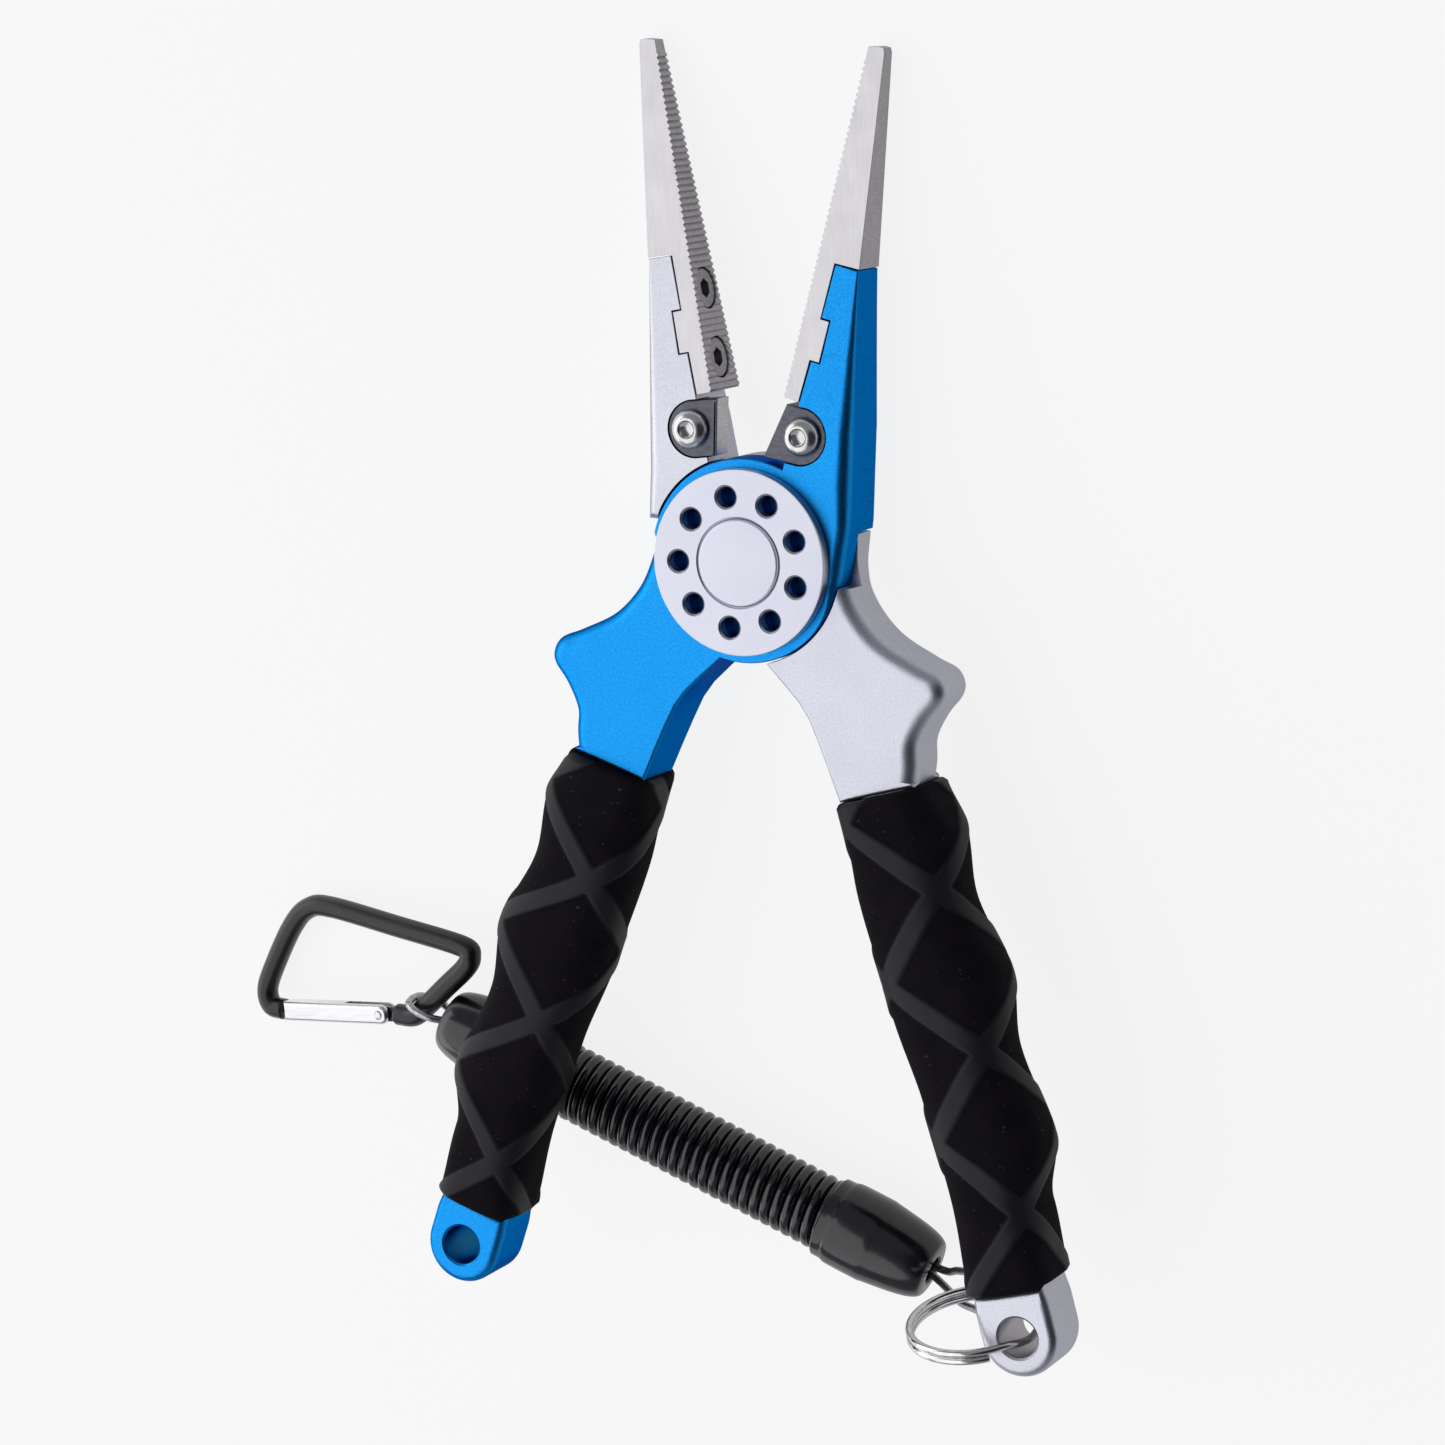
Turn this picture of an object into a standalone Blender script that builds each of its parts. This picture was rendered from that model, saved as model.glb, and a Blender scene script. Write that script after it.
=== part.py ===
"""Fishing pliers with a coiled lanyard, modelled at real size.

The pliers are two half-lapped handles on a spring-loaded pivot.  Each half
carries a screwed-on serrated jaw, a screwed-on cutter and a wrapped grip.
A split ring in one lug holds a coiled lanyard that ends in a carabiner.

The tool frame has its origin on the pivot axis at the hub's front face:
X to the right, Y towards the jaws, Z out of the front.  The tool lies on the
floor with its jaw tips down and its handles over the lanyard.
All design numbers are in millimetres.
"""
import math

import bmesh
import bpy
from mathutils import Matrix, Vector

MM = 0.001

# How the tool lies
PITCH = math.radians(7.6)            # jaws down, handles up on the lanyard
PIVOT_HEIGHT = 14.62                 # pivot's front face above the floor
ASSEMBLY_Y = 21.29                   # centres the pliers' box on the origin

# Halves
THICKNESS = 10.0
MID_Z = -THICKNESS / 2
LAP_GAP = 0.3
HUB_RADIUS = 14.8
RUN_GAP = 0.3
EDGE_ROUND = 2.5                     # outer edges of the handles
TAPER_START_Y = 20.0                 # the arms and jaws thin out from here
TAPER_END_Y = 73.0
FRONT_TAPER = 2.4
BACK_TAPER = 5.0
SEAM = 0.2

# Pivot
DISC_RADIUS = 13.5
DISC_FRONT = 1.95
DISC_HOLES = 9
DISC_HOLE_RADIUS = 1.53
DISC_HOLE_CIRCLE = 9.55
DISC_HOLE_START = math.radians(103)
CAP_RADIUS = 6.3
BARREL_RADIUS = 4.0
BUSH_RADIUS = 5.2
FLANGE_RADIUS = 9.0

# Jaws: the serrated face is a straight line in the open pose
FACE_OFFSET = 0.4
FACE_SLOPE = 0.2195
TOOTH_PITCH = 0.9
TOOTH_DEPTH = 0.22
TOOTH_START_Y = 38.5
JAW_SCREW_Y = (38.4, 28.6)

# Cutters
CUTTER_SCREW = (8.8, 18.5)
CUTTER_CENTRE = (8.3, 18.5)
CUTTER_ROUND = 4.1
POCKET_FLOOR = -4.2

# Grip axis, from the grip's upper end towards the lug
GRIP_START = Vector((21.5, -32.0))
GRIP_AXIS = Vector((20.8, -69.0)).normalized()
GRIP_OUT = Vector((-GRIP_AXIS.y, GRIP_AXIS.x))
GRIP_LENGTH = 73.5
GRIP_HALF_THICKNESS = 7.2
CORE_HALF_WIDTH = 4.5
CORE_HALF_THICKNESS = 3.4
CORE_OFFSET = 0.5
SECTION_POINTS = 16
LUG_CENTRE_S = 80.65
LUG_CENTRE_D = 0.93
LUG_RADIUS = 6.0
LUG_HOLE_RADIUS = 2.9

# Split ring, standing upright through the lug's hole
RING_RADIUS = 9.5
RING_HALF_AXIAL = 1.2
RING_HALF_RADIAL = 0.6
RING_SLIDE = 0.7                     # how far its wire sits off the hole's axis
RING_YAW = math.radians(185)         # direction from the lug to the ring's centre
RING_LEAN = math.radians(-6)         # the ring's lower side leans to the loop

# Lanyard, lying flat on the floor
BOOT_RADIUS = 6.65
BOOT_BORE = 2.15
RING_BOOT_LENGTH = 18.0
CLIP_BOOT_LENGTH = 16.0
COIL_RADIUS = 5.75
COIL_LENGTH = 50.4
COIL_ENTRY = 4.0                     # how far the coil sits inside each boot
RING_BOOT_END = Vector((22.8, -110.6))
LANYARD_YAW = math.radians(159.9)    # direction from the ring end to the clip end
WIRE_RADIUS = 0.6
LOOP_REACH = 9.0                     # clip loop's length past its boot

# Carabiner
ROD_RADIUS = 1.7
CLIP_PIN_RADIUS = 0.6
HOOK_DISTANCE = 6.3                  # clip boot's end to the rod in the loop
CLIP_AXIS = Vector((0.714, 0.700, 0.0)).normalized()
CLIP_TILT = math.radians(-10.9)      # the far end leans down to the floor

COLOURS = {
    "silver": ((0.76, 0.77, 0.82), 0.32, 1.0),
    "blue": ((0.015, 0.28, 0.83), 0.30, 0.9),
    "steel": ((0.58, 0.56, 0.57), 0.28, 1.0),
    "dark_steel": ((0.10, 0.10, 0.12), 0.38, 1.0),
    "bronze": ((0.45, 0.27, 0.10), 0.40, 1.0),
    "grip": ((0.010, 0.008, 0.011), 0.75, 0.0),
    "cord": ((0.008, 0.008, 0.010), 0.20, 0.0),
    "boot": ((0.010, 0.010, 0.012), 0.35, 0.0),
    "clip_black": ((0.012, 0.012, 0.014), 0.40, 0.6),
}


# ---------------------------------------------------------------- helpers

def material(slot):
    """One Principled material for each kind of surface."""
    found = bpy.data.materials.get(slot)
    if found:
        return found
    colour, roughness, metallic = COLOURS[slot]
    made = bpy.data.materials.new(slot)
    made.use_nodes = True
    shader = made.node_tree.nodes["Principled BSDF"]
    shader.inputs["Base Color"].default_value = (*colour, 1.0)
    shader.inputs["Roughness"].default_value = roughness
    shader.inputs["Metallic"].default_value = metallic
    return made


def add_empty(name, parent=None, matrix=None):
    """An empty that carries pieces; matrix is local to the parent, in mm."""
    empty = bpy.data.objects.new(name, None)
    bpy.context.scene.collection.objects.link(empty)
    empty.parent = parent
    if matrix is not None:
        local = matrix.copy()
        local.translation = local.translation * MM
        empty.matrix_local = local
    return empty


def add_object(name, mesh_builder, slot, parent):
    """Turns a bmesh in millimetres into a smooth-shaded object."""
    bmesh.ops.scale(mesh_builder, vec=(MM, MM, MM), verts=mesh_builder.verts)
    bmesh.ops.recalc_face_normals(mesh_builder, faces=mesh_builder.faces)
    mesh = bpy.data.meshes.new(name)
    mesh_builder.to_mesh(mesh)
    mesh_builder.free()
    mesh.shade_smooth()
    mesh.set_sharp_from_angle(angle=math.radians(32))
    made = bpy.data.objects.new(name, mesh)
    bpy.context.scene.collection.objects.link(made)
    made.parent = parent
    made.data.materials.append(material(slot))
    return made


def combine(target, other, operation):
    """A Boolean whose second object is only a guide."""
    other.hide_render = True
    other.display_type = "WIRE"
    modifier = target.modifiers.new(other.name, "BOOLEAN")
    modifier.operation = operation
    modifier.object = other
    modifier.solver = "EXACT"


def cut(target, other):
    combine(target, other, "DIFFERENCE")


def fuse(target, other):
    combine(target, other, "UNION")


def loft(rings, loop=False):
    """Skins equal-length closed rings; a loop joins its last ring to its first."""
    bm = bmesh.new()
    rows = [[bm.verts.new(point) for point in ring] for ring in rings]
    count = len(rows[0])
    pairs = list(zip(rows, rows[1:]))
    if loop:
        pairs.append((rows[-1], rows[0]))
    for row, following in pairs:
        for i in range(count):
            j = (i + 1) % count
            bm.faces.new((row[i], row[j], following[j], following[i]))
    if not loop:
        bm.faces.new(rows[0])
        bm.faces.new(rows[-1])
    return bm


def revolve(profile, segments=32, centre=(0.0, 0.0)):
    """Turns a closed (radius, z) profile about Z; radius 0 makes a pole."""
    bm = bmesh.new()
    columns = []
    for radius, z in profile:
        if radius == 0:
            columns.append([bm.verts.new((centre[0], centre[1], z))])
            continue
        column = []
        for k in range(segments):
            angle = 2 * math.pi * k / segments
            x = centre[0] + radius * math.cos(angle)
            y = centre[1] + radius * math.sin(angle)
            column.append(bm.verts.new((x, y, z)))
        columns.append(column)
    for i, column in enumerate(columns):
        following = columns[(i + 1) % len(columns)]
        if len(column) == 1 and len(following) == 1:
            continue
        for k in range(segments):
            j = (k + 1) % segments
            if len(column) == 1:
                bm.faces.new((column[0], following[j], following[k]))
            elif len(following) == 1:
                bm.faces.new((column[k], column[j], following[0]))
            else:
                bm.faces.new((column[k], column[j], following[j], following[k]))
    return bm


def smooth_through(points, steps):
    """Catmull-Rom curve through hand-chosen points, ends included."""
    points = [Vector(point) for point in points]
    padded = [2 * points[0] - points[1], *points, 2 * points[-1] - points[-2]]
    result = []
    for a, b, c, d in zip(padded, padded[1:], padded[2:], padded[3:]):
        for k in range(steps):
            t = k / steps
            result.append(0.5 * (2 * b + (c - a) * t + (2 * a - 5 * b + 4 * c - d) * t ** 2
                                 + (3 * b - a - 3 * c + d) * t ** 3))
    result.append(points[-1])
    return result


def value_at(table, s):
    """Smooth interpolation in a table of (position, value) pairs."""
    for (s0, v0), (s1, v1) in zip(table, table[1:]):
        if s <= s1:
            t = max(0.0, (s - s0) / (s1 - s0))
            return v0 + (v1 - v0) * t * t * (3 - 2 * t)
    return table[-1][1]


def arc(centre, radius, start, end, count):
    """Points on an arc, both ends included; angles in degrees."""
    result = []
    for k in range(count + 1):
        angle = math.radians(start + (end - start) * k / count)
        result.append(Vector((centre[0] + radius * math.cos(angle),
                              centre[1] + radius * math.sin(angle))))
    return result


def tube(path, radius, sides, plane=None, flat=1.0):
    """A capped tube on a 3-D path; flat scales its section along plane."""
    rings = []
    side = Vector(plane) if plane else None
    for i, point in enumerate(path):
        ahead = path[min(i + 1, len(path) - 1)] - path[max(i - 1, 0)]
        ahead.normalize()
        if side is None:
            side = ahead.orthogonal()
        side = (side - ahead * side.dot(ahead)).normalized()
        across = ahead.cross(side)
        ring = []
        for k in range(sides):
            angle = 2 * math.pi * k / sides
            ring.append(point + radius * (flat * math.cos(angle) * side + math.sin(angle) * across))
        rings.append(ring)
    return loft(rings)


def inset(outline, distances):
    """Moves each point of a counter-clockwise outline inwards by its distance."""
    result = []
    count = len(outline)
    for i, point in enumerate(outline):
        before = (point - outline[i - 1]).normalized()
        after = (outline[(i + 1) % count] - point).normalized()
        normal_a = Vector((-before.y, before.x))
        normal_b = Vector((-after.y, after.x))
        mitre = (normal_a + normal_b) / (1 + max(-0.4, normal_a.dot(normal_b)))
        result.append(point + mitre * distances[i])
    return result


def slab(outline, front, back, rounds, steps=2):
    """A plate with rounded rims; rounds holds one rim radius per outline point."""
    rings = []
    for step in range(steps, -1, -1):
        angle = math.pi / 2 * step / steps
        shape = inset(outline, [r * (1 - math.cos(angle)) for r in rounds])
        rings.append([Vector((p.x, p.y, front - r * (1 - math.sin(angle))))
                      for p, r in zip(shape, rounds)])
    for step in range(steps + 1):
        angle = math.pi / 2 * step / steps
        shape = inset(outline, [r * (1 - math.cos(angle)) for r in rounds])
        rings.append([Vector((p.x, p.y, back + r * (1 - math.sin(angle))))
                      for p, r in zip(shape, rounds)])
    return loft(rings)


def prism(outline, front, back):
    return loft([[Vector((p.x, p.y, front)) for p in outline],
                 [Vector((p.x, p.y, back)) for p in outline]])


def taper(bm):
    """Thins the arms and jaws towards the tips."""
    geometry = bm.verts[:] + bm.edges[:] + bm.faces[:]
    bmesh.ops.bisect_plane(bm, geom=geometry, dist=0.0001,
                           plane_co=(0, TAPER_START_Y, 0), plane_no=(0, 1, 0))
    for vertex in bm.verts:
        amount = (vertex.co.y - TAPER_START_Y) / (TAPER_END_Y - TAPER_START_Y)
        if amount > 0:
            share = vertex.co.z / -THICKNESS
            vertex.co.z += amount * ((1 - share) * -FRONT_TAPER + share * BACK_TAPER)


def mirror_for(bm, hand):
    """hand +1 keeps the handle at +X; -1 mirrors the piece to the other half."""
    if hand < 0:
        bmesh.ops.scale(bm, vec=(-1, 1, 1), verts=bm.verts)
    return bm


# ---------------------------------------------------------------- halves

def face_x(y):
    """X of the serrated face in the open pose, on the arm's side (-X)."""
    return -(FACE_OFFSET + FACE_SLOPE * y)


def on_grip(s, d):
    """Point at distance s along the grip's axis and d to its outer side."""
    return GRIP_START + GRIP_AXIS * s + GRIP_OUT * d


def half_outline():
    """Arm at -X, hub and upper handle at +X, counter-clockwise, with rim radii."""
    outline = []
    rounds = []

    def add(points, rim):
        for point in points:
            outline.append(Vector(point))
            rounds.append(rim)

    add(arc((0, 0), HUB_RADIUS, 12, 113, 10), 0.3)
    add([(-7.35, 20.0), (-8.14, 23.2), (-9.72, 29.28), (-11.15, 28.95), (-12.5, 35.15),
         (-11.1, 35.45), (-12.95, 43.0)], 0.25)
    add([(-16.45, 42.3)], 0.3)
    add([(-16.2, 30.0), (-16.05, 20.0), (-15.95, 10.0), (-15.9, 5.2)], 1.6)
    add([(-15.5, 3.9)], 0.5)
    add(arc((0, 0), HUB_RADIUS, 168, 284, 12), 0.3)
    add([(6.5, -17.3), (9.0, -19.8), (10.7, -22.2), (12.2, -25.4), (13.7, -28.8)], 0.7)
    add([on_grip(0.0, -6.2), on_grip(0.0, 6.3)], 0.7)
    handle_top = smooth_through([on_grip(0.0, 6.3), (27.5, -27.4), (27.5, -24.2), (29.2, -20.6),
                                 (31.2, -17.9), (31.5, -15.9), (30.3, -13.9), (27.0, -12.45),
                                 (21.4, -9.5), (17.5, -5.2), (15.5, -0.6), (14.95, 2.0)], 2)
    add(handle_top[1:], EDGE_ROUND)
    return outline, rounds


def core_ring(s, half_width, half_thickness):
    """Rounded box section across the handle's core."""
    ring = []
    for k in range(SECTION_POINTS):
        angle = 2 * math.pi * k / SECTION_POINTS
        u = math.copysign(abs(math.cos(angle)) ** 0.45, math.cos(angle)) * half_width
        w = math.copysign(abs(math.sin(angle)) ** 0.45, math.sin(angle)) * half_thickness
        place = on_grip(s, CORE_OFFSET + u)
        ring.append(Vector((place.x, place.y, MID_Z + w)))
    return ring


def lug_outline():
    outline = []
    centre = on_grip(LUG_CENTRE_S, LUG_CENTRE_D)
    start = math.degrees(math.atan2(GRIP_OUT.y, GRIP_OUT.x))
    outline.append(on_grip(GRIP_LENGTH + 0.4, LUG_CENTRE_D + LUG_RADIUS))
    outline.append(on_grip(GRIP_LENGTH + 0.4, LUG_CENTRE_D - LUG_RADIUS))
    outline.extend(arc(centre, LUG_RADIUS, start - 180, start, 12))
    return outline


def make_half(name, slot, hand, parent):
    outline, rounds = half_outline()
    body = slab(outline, 0.0, -THICKNESS, rounds)
    taper(body)
    half = add_object(name, mirror_for(body, hand), slot, parent)

    core = loft([core_ring(s, CORE_HALF_WIDTH, CORE_HALF_THICKNESS) for s in (-4.0, 77.0)])
    fuse(half, add_object(name + "_core", mirror_for(core, hand), slot, parent))
    rim = lug_outline()
    lug = slab(rim, 0.0, -THICKNESS, [1.5] * len(rim))
    fuse(half, add_object(name + "_lug", mirror_for(lug, hand), slot, parent))
    centre = on_grip(LUG_CENTRE_S, LUG_CENTRE_D)
    hole = revolve([(0, 1), (LUG_HOLE_RADIUS + 1.6, 1), (LUG_HOLE_RADIUS, -0.6),
                    (LUG_HOLE_RADIUS, -THICKNESS + 0.6),
                    (LUG_HOLE_RADIUS + 1.6, -THICKNESS - 1), (0, -THICKNESS - 1)], 20, centre)
    cut(half, add_object(name + "_lug_hole", mirror_for(hole, hand), slot, parent))

    # Half lap: the silver hub lies behind, the blue hub in front.
    lap_radius = HUB_RADIUS + RUN_GAP
    if hand > 0:
        lap = revolve([(0, 1), (lap_radius, 1), (lap_radius, MID_Z - LAP_GAP / 2),
                       (0, MID_Z - LAP_GAP / 2)], 48)
    else:
        lap = revolve([(0, MID_Z + LAP_GAP / 2), (lap_radius, MID_Z + LAP_GAP / 2),
                       (lap_radius, -THICKNESS - 1), (0, -THICKNESS - 1)], 48)
    cut(half, add_object(name + "_lap", lap, slot, parent))

    pocket = prism(inset(cutter_outline(hand), [-SEAM] * 13), 1.0, POCKET_FLOOR)
    cut(half, add_object(name + "_pocket", mirror_for(pocket, hand), slot, parent))
    screw_x = -CUTTER_SCREW[0]
    bore = revolve([(0, 1), (1.7, 1), (1.7, -8.6), (0, -8.6)], 16, (screw_x, CUTTER_SCREW[1]))
    cut(half, add_object(name + "_cutter_bore", mirror_for(bore, hand), slot, parent))
    for number, y in enumerate(JAW_SCREW_Y, 1):
        bore = jaw_screw_profile(0.3, False)
        bore = mirror_for(place_on_face(bore, y), hand)
        cut(half, add_object(f"{name}_jaw_bore_{number}", bore, slot, parent))
    return half


# ---------------------------------------------------------------- jaws

def jaw_outline():
    """Serrated insert on the arm's side, counter-clockwise from its lower end."""
    points = [Vector((face_x(24.0), 24.0))]
    y = TOOTH_START_Y
    while y < 71.5:
        points.append(Vector((face_x(y), y)))
        points.append(Vector((face_x(y + TOOTH_PITCH / 2) - TOOTH_DEPTH, y + TOOTH_PITCH / 2)))
        y += TOOTH_PITCH
    points.append(Vector((face_x(y), y)))
    points.extend(Vector(p) for p in ((-16.6, 73.45), (-18.2, 73.3), (-19.0, 72.6),
                                      (-16.6, 42.5), (-12.73, 43.25), (-10.88, 35.22),
                                      (-12.25, 34.93), (-10.93, 29.2), (-9.5, 29.5),
                                      (-7.95, 23.4)))
    return points


def place_on_face(bm, y):
    """Moves a piece made along Z so that Z points out of the serrated face."""
    normal = Vector((1.0, FACE_SLOPE, 0.0)).normalized()
    across = Vector((0, 0, 1))
    turn = Matrix((normal.cross(across), across, normal)).transposed()
    bmesh.ops.rotate(bm, verts=bm.verts, cent=(0, 0, 0), matrix=turn)
    middle = (y - TAPER_START_Y) / (TAPER_END_Y - TAPER_START_Y)
    z = MID_Z + middle * (BACK_TAPER - FRONT_TAPER) / 2
    bmesh.ops.translate(bm, verts=bm.verts, vec=(face_x(y), y, z))
    return bm


def jaw_screw_profile(gap, head_only=True):
    """Countersunk screw along Z, head flush with the jaw face."""
    head, shank = 2.4 + gap, 1.3 + gap
    top = -0.35 if gap == 0 else 1.0
    tip = -6.4 - gap
    taper_end = -1.9 - gap
    if head_only:
        return revolve([(0, top), (head, top), (head, -0.7), (shank, taper_end),
                        (shank, tip), (0, tip)], 16)
    return revolve([(0, 4.0), (shank, 4.0), (shank, tip), (0, tip)], 16)


def make_jaw(name, hand, parent):
    outline = jaw_outline()
    body = slab(outline, 0.0, -THICKNESS, [0.12] * len(outline), 1)
    taper(body)
    jaw = add_object(name, mirror_for(body, hand), "steel", parent)
    for number, y in enumerate(JAW_SCREW_Y, 1):
        hole = mirror_for(place_on_face(jaw_screw_profile(0.25), y), hand)
        cut(jaw, add_object(f"{name}_hole_{number}", hole, "steel", parent))
        screw = mirror_for(place_on_face(jaw_screw_profile(0.0), y), hand)
        screw_object = add_object(f"{name}_screw_{number}", screw, "dark_steel", parent)
        socket = revolve([(0, 1), (1.15, 1), (1.15, -1.6), (0, -1.6)], 6)
        socket = mirror_for(place_on_face(socket, y), hand)
        cut(screw_object, add_object(f"{name}_socket_{number}", socket, "dark_steel", parent))


# ---------------------------------------------------------------- cutters

def cutter_outline(hand):
    """Rounded block with a straight edge; the edges meet when the jaws close."""
    cx, cy = -CUTTER_CENTRE[0], CUTTER_CENTRE[1]
    if hand > 0:
        edge = [Vector((-4.7, 14.9)), Vector((-4.7, 23.1))]
    else:
        edge = [Vector((-2.75, 15.3)), Vector((-6.2, 23.0))]
    return edge + arc((cx, cy), CUTTER_ROUND, 95, 275, 10)


def make_cutter(name, hand, parent):
    outline = cutter_outline(hand)
    cutter = add_object(name, mirror_for(slab(outline, -0.15, POCKET_FLOOR + SEAM,
                                              [0.35] * len(outline), 2), hand),
                        "dark_steel", parent)
    screw_place = (-CUTTER_SCREW[0], CUTTER_SCREW[1])
    hole = revolve([(0, 1), (1.65, 1), (1.65, -6), (0, -6)], 16, screw_place)
    cut(cutter, add_object(name + "_hole", mirror_for(hole, hand), "steel", parent))
    profile = [(0, 1.65), (1.5, 1.62), (2.2, 1.35), (2.7, 0.8), (2.85, 0.1), (1.4, 0.1),
               (1.4, -8.0), (0, -8.0)]
    screw = add_object(name + "_screw", mirror_for(revolve(profile, 24, screw_place), hand),
                       "steel", parent)
    socket = revolve([(0, 2), (1.2, 2), (1.2, 0.4), (0, 0.4)], 6, screw_place)
    cut(screw, add_object(name + "_socket", mirror_for(socket, hand), "steel", parent))


# ---------------------------------------------------------------- grips

GRIP_INNER = [(0, -6.7), (14, -8.1), (30, -7.5), (46, -5.9), (61, -5.2), (GRIP_LENGTH, -5.3)]
GRIP_OUTER = [(0, 6.8), (8.5, 9.5), (17, 7.0), (30, 11.0), (40, 9.2), (54, 11.4), (63, 8.4),
              (GRIP_LENGTH, 7.3)]


def grip_ring(s, shrink=0.0):
    """Soft oval section of the wrapped sleeve."""
    low = value_at(GRIP_INNER, s) + shrink
    high = value_at(GRIP_OUTER, s) - shrink
    ring = []
    for k in range(SECTION_POINTS):
        angle = 2 * math.pi * k / SECTION_POINTS
        u = math.copysign(abs(math.cos(angle)) ** 0.8, math.cos(angle)) * (high - low) / 2
        w = math.copysign(abs(math.sin(angle)) ** 0.8, math.sin(angle))
        place = on_grip(s, (low + high) / 2 + u)
        ring.append(Vector((place.x, place.y, MID_Z + w * (GRIP_HALF_THICKNESS - shrink))))
    return ring


def make_grip(name, hand, parent):
    first, last, stations = 0.3, GRIP_LENGTH, 20
    rings = [grip_ring(first, 0.6)]
    for k in range(stations + 1):
        rings.append(grip_ring(first + 0.6 + (last - first - 1.2) * k / stations))
    rings.append(grip_ring(last, 0.6))
    inner_width = CORE_HALF_WIDTH + RUN_GAP
    inner_thickness = CORE_HALF_THICKNESS + RUN_GAP
    rings.append(core_ring(last, inner_width, inner_thickness))
    rings.append(core_ring(first, inner_width, inner_thickness))
    add_object(name, mirror_for(loft(rings, loop=True), hand), "grip", parent)


# ---------------------------------------------------------------- pivot

def cut_pivot_seats(silver, blue, silver_parent, blue_parent):
    """Bores for the barrel and bush, the spring's pocket and the washer's seat."""
    front_lap = MID_Z + LAP_GAP / 2
    bore = revolve([(0, 1), (BARREL_RADIUS + 0.3, 1), (BARREL_RADIUS + 0.3, -THICKNESS - 1),
                    (0, -THICKNESS - 1)], 32)
    cut(silver, add_object("silver_barrel_bore", bore, "silver", silver_parent))
    pocket = revolve([(5.4, -4), (7.9, -4), (7.9, -8.6), (5.4, -8.6)], 32)
    cut(silver, add_object("silver_spring_pocket", pocket, "silver", silver_parent))
    bore = revolve([(0, 2), (7.1, 2), (7.1, -1.5), (BUSH_RADIUS + 0.2, -1.5),
                    (BUSH_RADIUS + 0.2, -THICKNESS), (0, -THICKNESS)], 32)
    cut(blue, add_object("blue_bush_bore", bore, "blue", blue_parent))
    seat = revolve([(9.0, front_lap + 0.7), (12.8, front_lap + 0.7), (12.8, -THICKNESS),
                    (9.0, -THICKNESS)], 32)
    cut(blue, add_object("blue_washer_seat", seat, "blue", blue_parent))


def disc_hole_places():
    for k in range(DISC_HOLES):
        angle = DISC_HOLE_START - 2 * math.pi * k / DISC_HOLES
        yield DISC_HOLE_CIRCLE * math.cos(angle), DISC_HOLE_CIRCLE * math.sin(angle)


def make_pivot(silver_parent, blue_parent, blue):
    disc = add_object("pivot_disc", revolve([
        (1.8, -0.4), (6.6, -0.4), (6.6, 1.75), (6.8, DISC_FRONT), (DISC_RADIUS - 0.3, DISC_FRONT),
        (DISC_RADIUS, DISC_FRONT - 0.3), (DISC_RADIUS, 0.25), (6.9, 0.25), (6.9, -1.2),
        (1.8, -1.2)], 44), "silver", blue_parent)
    for number, place in enumerate(disc_hole_places(), 1):
        profile = [(0, 3), (DISC_HOLE_RADIUS + 0.25, 3), (DISC_HOLE_RADIUS + 0.25, DISC_FRONT),
                   (DISC_HOLE_RADIUS, DISC_FRONT - 0.2), (DISC_HOLE_RADIUS, -2.2), (0, -2.2)]
        drill = add_object(f"disc_drill_{number}", revolve(profile, 10, place), "silver",
                           blue_parent)
        cut(disc, drill)
        cut(blue, drill)
    add_object("pivot_cap", revolve([(0, 1.5), (CAP_RADIUS, 1.5), (CAP_RADIUS, 2.0),
                                     (CAP_RADIUS - 0.2, 2.2), (0, 2.2)], 32), "silver", blue_parent)
    screw = add_object("pivot_screw", revolve([
        (0, 1.3), (3.0, 1.3), (3.3, 1.0), (3.3, -0.1), (1.4, -0.1), (1.4, -6.0), (0, -6.0)], 18),
        "steel", silver_parent)
    socket = revolve([(0, 2), (1.5, 2), (1.5, 0.2), (0, 0.2)], 6)
    cut(screw, add_object("pivot_screw_socket", socket, "steel", silver_parent))
    add_object("pivot_barrel", revolve([
        (0, -6.8), (1.7, -6.8), (1.7, -1.5), (BARREL_RADIUS - 0.2, -1.5), (BARREL_RADIUS, -1.7),
        (BARREL_RADIUS, -10.2), (FLANGE_RADIUS, -10.2), (FLANGE_RADIUS, -11.2),
        (FLANGE_RADIUS - 0.6, -11.7), (0, -11.7)], 28), "silver", silver_parent)
    add_object("pivot_bush", revolve([(BARREL_RADIUS + 0.15, -1.7), (BUSH_RADIUS, -1.7),
                                      (BUSH_RADIUS, -4.8), (BARREL_RADIUS + 0.15, -4.8)], 28),
               "bronze", blue_parent)
    add_object("thrust_washer", revolve([(9.3, -4.35), (12.5, -4.35), (12.5, -4.95),
                                         (9.3, -4.95)], 24), "bronze", silver_parent)
    turns, mean_radius, lift = 2.5, 6.65, 1.05
    path = []
    for k in range(int(turns * 12) + 1):
        angle = 2 * math.pi * k / 12
        path.append(Vector((mean_radius * math.cos(angle), mean_radius * math.sin(angle),
                            -8.1 + lift * k / 12)))
    add_object("torsion_spring", tube(path, 0.42, 5), "steel", silver_parent)


# ---------------------------------------------------------------- lanyard

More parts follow.
